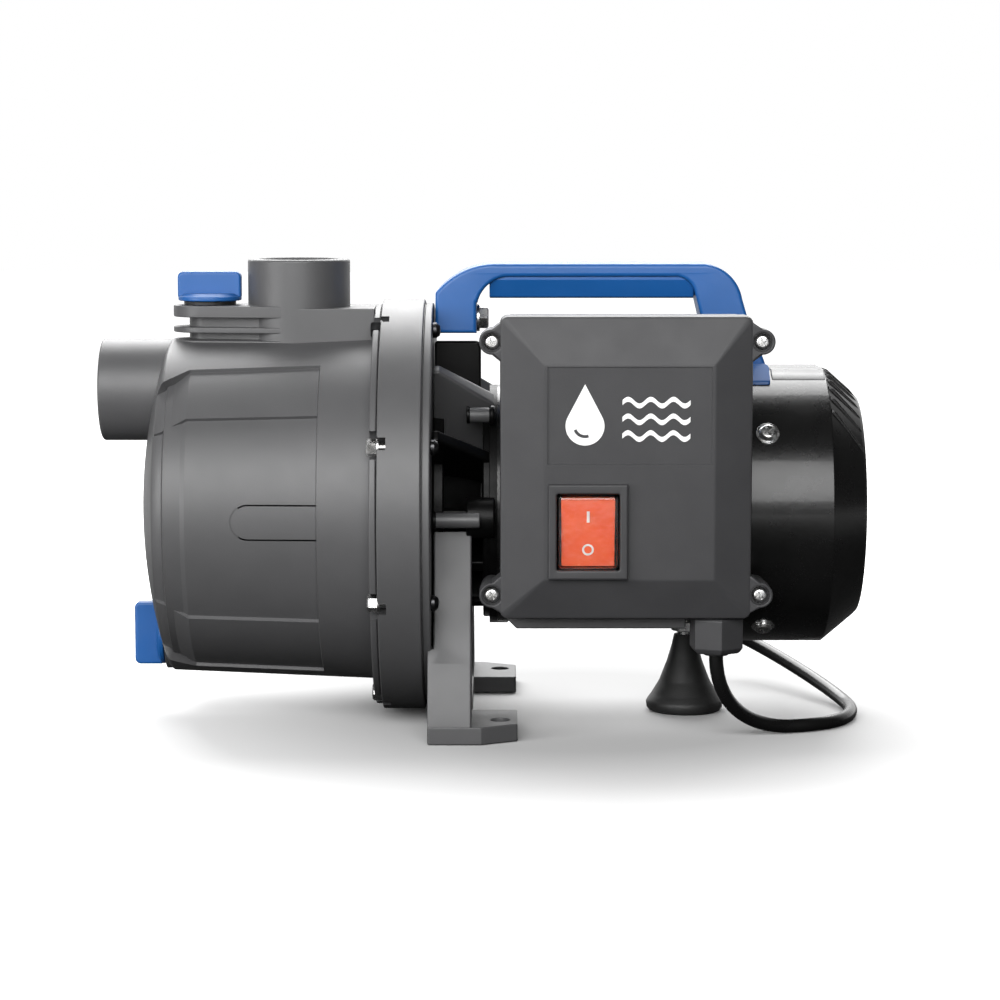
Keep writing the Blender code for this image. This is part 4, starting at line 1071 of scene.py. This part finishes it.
def box_cover():
    """The front shell: straight sides, a mitred sloping frame and a flat face with a sunk label panel."""
    back = BOX_HIGH.y
    loops = [
        [Vector((BOX_MIDDLE_X, back, sum(SIDE_Z) / 2))],
        loft_loop(SIDE_X, SIDE_Z, 0.8, back, 3),
        loft_loop(SIDE_X, SIDE_Z, 0, back - 0.8, 3.4),
        loft_loop(SIDE_X, SIDE_Z, 0, SHOULDER_Y + 1.6, 3.4),
        loft_loop(SIDE_X, SIDE_Z, 0.4, SHOULDER_Y + 0.6, 3),
        loft_loop(SIDE_X, SIDE_Z, 1.4, SHOULDER_Y, 2.4),
        loft_loop(FACE_X, FACE_Z, -1, FACE_Y + 0.28, 0.8),
        loft_loop(FACE_X, FACE_Z, 0.4, FACE_Y, 0.6),
        [Vector((sum(FACE_X) / 2, FACE_Y, sum(FACE_Z) / 2))],
    ]
    centre = middle("switch_body")
    half_x, half_z = 15, 18.6
    label = block("label_cut", (FACE_X[0] + 1.4, FACE_Y - 2, 129.5),
                  (FACE_X[1] - 1.2, FACE_Y + LABEL_DEPTH, FACE_Z[1] - 1), 0)
    window = block("window_cut", (centre.x - half_x, FACE_Y - 5, centre.z - half_z),
                   (centre.x + half_x, back - 3, centre.z + half_z), 0)
    shell = boolean(skin("box_cover_shell", loops), [label, window])
    fit(shell, "dark_plastic", ["box_cover"], sharp=24)
    for number, (x, z) in enumerate(LUGS, 1):
        lug(number, x, z)


def lug(number, x, z):
    """A screw ear that flows into the cover's side, with a sunk seat for its screw."""
    left = x < BOX_MIDDLE_X
    inner = SIDE_X[0] + 3 if left else SIDE_X[1] - 3
    start, end = (90, 270) if left else (-90, 90)
    lift = -11 if left else 11
    outline = arc((x, z), 5.7, start, end, 20) + [(inner, z + lift), (inner, z - lift)]
    low_z, high_z = shrink(SIDE_Z, 1)
    outline = [(across, min(max(up, low_z), high_z)) for across, up in outline]
    seat = circle((x, z), 4.2)
    ear = slab(f"cover_lug_{number}", [outline, seat], SHOULDER_Y + 0.6, BOX_HIGH.y, "XZ", 0.9)
    fit(ear, "dark_plastic")
    spot = Vector((x, 0, z))
    seat_depth = -SHOULDER_Y - 3.4
    floor = rod(f"cover_lug_floor_{number}", 4.4, -BOX_HIGH.y, seat_depth, spot, -AXIS_Y, 0.1)
    fit(floor, "dark_plastic")
    cross_screw(f"box_screw_{number}", spot, -AXIS_Y, seat_depth + 0.2, 3.5, [f"cover_screw_{number}"])


def box_base():
    """The tray behind the cover, with a lower strip, and a pillar behind each lug."""
    front, back = TRAY_LOW.y, TRAY_HIGH.y
    across, up = shrink(SIDE_X, 1.5), shrink(SIDE_Z, 1)
    outline = rounded(rectangle((across[0], up[0]), (across[1], up[1])), 4)
    fit(slab("box_tray", [outline], front, back, "XZ", 0.8), "dark_plastic", ["box_base"])
    left, right, top, cut_corner = SIDE_X[0] + 3, 106, BOX_LOW.z + 3, 4.5
    outline = rounded([
        (left + cut_corner, TRAY_LOW.z), (right, TRAY_LOW.z), (right, top), (left, top),
        (left, TRAY_LOW.z + cut_corner),
    ], 0.8)
    # The strip takes the lighter casing grey as a painted reflection of the floor on its front edge.
    fit(slab("box_strip", [outline], front, back - 2, "XZ", 0.7), "casing_grey")
    for number, (x, z) in enumerate(LUGS, 1):
        spot = Vector((x, 0, z))
        fit(rod(f"box_pillar_{number}", 5, -front - 16, -front, spot, -AXIS_Y), "dark_plastic")
    outline = rounded(rectangle((40, 78), (116, 122)), 2)
    fit(slab("box_saddle", [outline], back - 1, back + 6, "XZ"), "dark_plastic")


def water_mark():
    """A plain drop and three ripples, printed on the label panel."""
    ink = 0.05
    front, back = FACE_Y + LABEL_DEPTH - 0.25, FACE_Y + LABEL_DEPTH + ink
    centre, radius = (59.5, 146.5), 8.6
    drop = arc(centre, radius, 152, 388, 40) + [(centre[0], centre[1] + radius * 2.15)]
    glint = arc(centre, radius * 0.62, 200, 290, 16) + arc(centre, radius * 0.46, 290, 200, 16)
    fit(slab("mark_drop", [drop, glint], front, back, "XZ", ink), "white_print")
    start, length, top, gap = 76, 30, 158, 7.4
    swell, thickness, waves, steps = 1.5, 2.2, 3, 40
    for row in range(3):
        upper = []
        for step in range(steps + 1):
            height = top - row * gap + swell * math.sin(step / steps * waves * 2 * math.pi)
            upper.append((start + length * step / steps, height))
        lower = [(x, z - thickness) for x, z in reversed(upper)]
        fit(slab(f"mark_ripple_{row + 1}", [upper + lower], front, back, "XZ", ink), "white_print")


def rocker_switch():
    """A raised bezel, a dark well, the red rocker with its two marks and a clear cap."""
    centre = middle("switch_body")
    spot = (centre.x, centre.z)
    half_x, half_z = (SWITCH_HIGH.x - SWITCH_LOW.x) / 2, (SWITCH_HIGH.z - SWITCH_LOW.z) / 2
    inner = rounded(centred(spot, 13.9, 17), 0.8)
    rim = [rounded(centred(spot, half_x, half_z), 0.8), inner]
    bezel = slab("switch_bezel", rim, SWITCH_LOW.y, FACE_Y - 0.02, "XZ", 0.9)
    fit(bezel, "dark_plastic", ["switch_body"])
    well_outer = centred(spot, 14.8, 18.4)
    fit(slab("switch_well", [well_outer, inner], FACE_Y - 1, -88, "XZ", 0.1), "black_plastic")
    fit(slab("switch_floor", [well_outer], -89, SWITCH_HIGH.y, "XZ", 0.1), "black_plastic")
    rocker()
    cap = cap_block("switch_cap", centre, 13.5, 16.7, SWITCH_LOW.y - 1.2, -93, 2)
    hollow = cap_block("switch_cap_hollow", centre, 12.9, 16.1, SWITCH_LOW.y - 0.6, -80, 1.5)
    fit(boolean(cap, [hollow]), "clear_plastic", ["switch_boot"])


def cap_block(name, centre, half_x, half_z, front, back, edge):
    low = (centre.x - half_x, front, centre.z - half_z)
    return block(name, low, (centre.x + half_x, back, centre.z + half_z), edge, 4)


def rocker():
    """The rocker and its marks, built upright about its pivot and then leant to its rest position."""
    lean = math.radians(8)
    radius, valley, half_width = 16, 4.6, 12.1
    upper, lower = arc((0, 0), radius, 78, 110, 8), arc((0, 0), radius, 250, 282, 8)
    body = slab("rocker_body", [upper + [(-valley, 0)] + lower], -half_width, half_width, "YZ", 0.9)
    rise, half_face = upper[-1][0] + valley, upper[-1][1] * 0.5
    slope = math.atan2(rise, upper[-1][1])
    ink = 0.12
    bar = rounded(centred((0, 0), 0.65, 2.6), 0.2)
    bar = slab("rocker_on_mark", [bar], -ink, ink, "XZ", 0.05)
    rings = [circle((0, 0), 2.6), circle((0, 0), 1.7)]
    ring = slab("rocker_off_mark", rings, -ink, ink, "XZ", 0.05)
    for mark, side in ((bar, 1), (ring, -1)):
        spot = (0, rise * 0.5 - valley - 0.02, side * half_face)
        move(mark, spot, Matrix.Rotation(-slope * side, 4, "X"))
    for piece in (body, bar, ring):
        move(piece, ROCKER_PIVOT, Matrix.Rotation(lean, 4, "X"))
    fit(body, "red_plastic", ["switch_rocker"], "rocker")
    fit(bar, "white_print", body="rocker")
    fit(ring, "white_print", body="rocker")


def gland_and_cable():
    """The gland's hex, its rubber seal, its thread up into the box and the cable."""
    centre = middle("gland_nut")
    origin = Vector((centre.x, centre.y, 0))
    low, high = GLAND_LOW.z, GLAND_HIGH.z
    bore, radius = 5.4, 12.7
    nut = lathe("gland_hex", [
        (bore, high), (12, high), (radius, high - 0.8), (radius, low + 2.6), (11.4, low + 0.8),
        (10.4, low + 0.1), (bore, low + 0.1),
    ], origin, AXIS_Z, 6)
    turn_about(nut, origin, "Z", math.radians(-23))
    fit(soften(nut, 0.35), "dark_plastic", ["gland_nut"], sharp=25)
    fit(tube("gland_seal", 5.6, 3.4, low - 1.2, low + 4, origin, AXIS_Z, 0.5), "rubber")
    fit(rod("gland_thread", 9, high - 1, BOX_LOW.z + 4, origin, AXIS_Z), "dark_plastic")
    power_cable(origin, low)


def power_cable(origin, top):
    """The cable hangs from the gland, loops over the floor and rises to its cut end behind the motor."""
    radius = 3.2
    knots = [
        ((origin.x, origin.y, top + 14), (0, 0, -6)),
        ((origin.x, origin.y, top - 1.4), (0, 0, -21)),
        ((158, -58, radius), (24, 6.5, 0)),
        ((189.5, -10, radius), (0, 21, 0.4)),
        ((143, 90, 22), (-22, 28, 7)),
    ]
    curve = bpy.data.curves.new("cable", "CURVE")
    curve.dimensions = "3D"
    curve.bevel_depth = radius * MM
    curve.bevel_resolution = 7
    curve.resolution_u = 24
    curve.use_fill_caps = True
    spline = curve.splines.new("BEZIER")
    spline.bezier_points.add(len(knots) - 1)
    for knot, (place, pull) in zip(spline.bezier_points, knots):
        knot.co = Vector(place) * MM
        knot.handle_left = (Vector(place) - Vector(pull)) * MM
        knot.handle_right = (Vector(place) + Vector(pull)) * MM
    fit(baked(add_object("cable", curve)), "gloss_black", ["power_cable"], sharp=60)


# Handle


def cover_cutter(name):
    """The space that the fan cover takes out of what sits on it."""
    return rod(name, COVER_RADIUS + 0.2, 120, 160, SHAFT, AXIS_X, 0, 192)


def carry_handle():
    """A bow with a broad rim, a grip that narrows downward, and a saddle on the motor cover."""
    half_width = 14.5
    outline = [(-8.7, 182.4), (11, 182.4), (11, 196.5)]
    outline += arc((26.5, 193.5), 15.4, 168, 96, 10) + [(106, 208.9)]
    outline += arc((104.5, 199.4), 9.5, 80, 14, 8)
    outline += [(116.5, 190), (134.5, 171), (134.5, 158), (148.4, 158), (148.4, 165)]
    outline += [(138.6, 190)] + arc((116.4, 195.1), 20, 10, 90, 16)
    outline += arc((20, 179.1), 36, 90, 142, 16)
    bow = slab("handle_bow", [outline], -half_width, half_width, "XZ", 1.8)
    fit(boolean(bow, [cover_cutter("cover_clearance")]), "blue_plastic", ["carry_handle"])
    grip = [(12.6, 209.6), (12.6, 207.4), (9, 199.4), (7.6, 198.7)]
    section = rounded(grip + mirrored(grip), 0.8)
    fit(slab("handle_grip", [section], 17, 113.5, "YZ", 0.6), "blue_plastic")
    foot, low, shoulder, flat = 28.5, 152, 160.5, 170
    saddle = block("handle_saddle", (134.6, -foot, low), (148.3, foot, 168), 1.6)
    wedge = [(-foot, low), (foot, low), (foot, shoulder), (15, flat), (-15, flat), (-foot, shoulder)]
    shape = slab("saddle_shape", [rounded(wedge, 2)], 130, 150, "YZ", 0.2)
    saddle = boolean(saddle, [shape], "INTERSECT")
    fit(boolean(saddle, [cover_cutter("saddle_clearance")]), "blue_plastic")
    handle_fasteners()


def handle_fasteners():
    """The front bolt with its washer, and the rear screw in the saddle."""
    origin = Vector((0, 0, middle("handle_bolt").z))
    washer = rod("handle_bolt_washer", 6.4, 10.9, 12.4, origin, AXIS_X, 0.3, 64)
    fit(washer, "zinc_steel", ["handle_bolt"])
    hexagon = [(0, 16.6), (4.6, 16.6), (5.6, 15.9), (5.6, 12.3), (0, 12.3)]
    fit(lathe("handle_bolt_head", hexagon, origin, AXIS_X, 6), "zinc_steel", sharp=20)
    low, high = box_of("handle_screw")
    spot = Vector(((low.x + high.x) / 2, (low.y + high.y) / 2, 0))
    cross_screw("handle_rear_screw", spot, AXIS_Z, high.z - 2.7, 4.2, ["handle_screw"])


# Stage, in metres

CAMERA_PLACE = (0.022, -1.345, 0.258)
CAMERA_DIP = 0.1157
CAMERA_LENS = 101.7
LIGHT_TARGET = Vector((0, 0, 0.1))
# Each softbox: its place, its width and height, and its power in watts.
SOFTBOXES = {
    "overhead": ((-0.1, 0.9, 1.15), (1.5, 1.3), 40),
    "key": ((-0.25, -2.2, 1.15), (2.3, 1.5), 77),
    "left": ((-1.9, -1.4, 0.65), (1.1, 1.2), 33),
}
WHITE = (1, 1, 1, 1)


def stage():
    """A pale floor, a white surround with a dark front half, softboxes and the camera."""
    shape = bmesh.new()
    bmesh.ops.create_grid(shape, x_segments=1, y_segments=1, size=6 / MM)
    floor = new_piece("floor", shape)
    # The floor's origin sits under the motor side, the centre of its painted glow and painted shade.
    floor.location = (0.06, 0, -0.0003)
    floor.data.materials.append(floor_paper())
    bpy.context.scene.world = surround()
    for name, (place, size, power) in SOFTBOXES.items():
        softbox(name, Vector(place), size, power)
    lens = bpy.data.cameras.new("photo_view")
    lens.lens = CAMERA_LENS
    camera = add_object("photo_view", lens)
    camera.location = CAMERA_PLACE
    camera.rotation_euler = (math.pi / 2 - CAMERA_DIP, 0, 0)
    bpy.context.scene.camera = camera
    bpy.context.scene.view_settings.view_transform = "Standard"


def show_or_light(tree, seen, lighting, surface):
    """Show one shader to the eye, and let the other one light the pump and mirror in it."""
    ray = add_node(tree, "LightPath").outputs["Is Camera Ray"]
    choice = add_node(tree, "MixShader", [("Fac", ray), (1, lighting), (2, seen)])
    tree.links.new(choice.outputs["Shader"], surface)


def floor_paper():
    """White paper that looks overexposed away from the pump through a painted glow, and throws little light up
    beside it because its colour there is painted dark as painted shade.
    """
    made = new_finish("floor_paper", (0.75, 0.85), 4, Specular_IOR_Level=0.1)
    tree = made.node_tree
    shader = tree.nodes["Principled BSDF"]
    place = add_node(tree, "TexCoord").outputs["Object"]
    distance = tree.nodes.new("ShaderNodeVectorMath")
    distance.operation = "LENGTH"
    tree.links.new(place, distance.inputs[0])
    away = spread(tree, distance.outputs["Value"], 0, 1, 0.45, 1.3)
    # Painted shade: the colour that lights the pump is dark near it and pale far away.
    painted_bounce_shade = blend_colours(tree, away, (0.02, 0.02, 0.02), (0.7, 0.7, 0.7))
    tree.links.new(painted_bounce_shade, shader.inputs["Base Color"])
    paper = add_node(tree, "BsdfDiffuse", Color=(0.62, 0.62, 0.62, 1)).outputs["BSDF"]
    # Painted light: a glow seen only by the eye, none near the pump and full beyond it.
    strength = spread(tree, distance.outputs["Value"], 0, 1, 0.10, 0.42)
    glow = add_node(tree, "Emission", [("Strength", strength)]).outputs["Emission"]
    both = add_node(tree, "AddShader", [(0, paper), (1, glow)]).outputs["Shader"]
    show_or_light(tree, both, shader.outputs["BSDF"], tree.nodes["Material Output"].inputs["Surface"])
    return made


def surround():
    """A white backdrop: plain white to the eye, bright behind the pump and dim in front as a light."""
    world = bpy.data.worlds.new("studio")
    world.use_nodes = True
    tree = world.node_tree
    light = tree.nodes["Background"]
    light.inputs["Color"].default_value = WHITE
    place = add_node(tree, "TexCoord").outputs["Generated"]
    behind = add_node(tree, "SeparateXYZ", [("Vector", place)]).outputs["Y"]
    tree.links.new(spread(tree, behind, 0.02, 1.4, 0.3, 0.9), light.inputs["Strength"])
    seen = add_node(tree, "Background", Color=WHITE).outputs["Background"]
    show_or_light(tree, seen, light.outputs["Background"], tree.nodes["World Output"].inputs["Surface"])
    return world


def softbox(name, place, size, power):
    light = bpy.data.lights.new(name, "AREA")
    light.shape = "RECTANGLE"
    light.size, light.size_y = size
    light.energy = power
    lamp = add_object(name, light)
    lamp.location = place
    lamp.rotation_euler = (LIGHT_TARGET - place).to_track_quat("-Z", "Y").to_euler()


for build in (
    dress_cad_nodes, pump_casing, plugs, back_ring, casing_bolts, front_endshield, stator_housing,
    rear_cover, front_foot, rubber_foot, box_cover, box_base, water_mark, rocker_switch, gland_and_cable,
    carry_handle, stage,
):
    build()
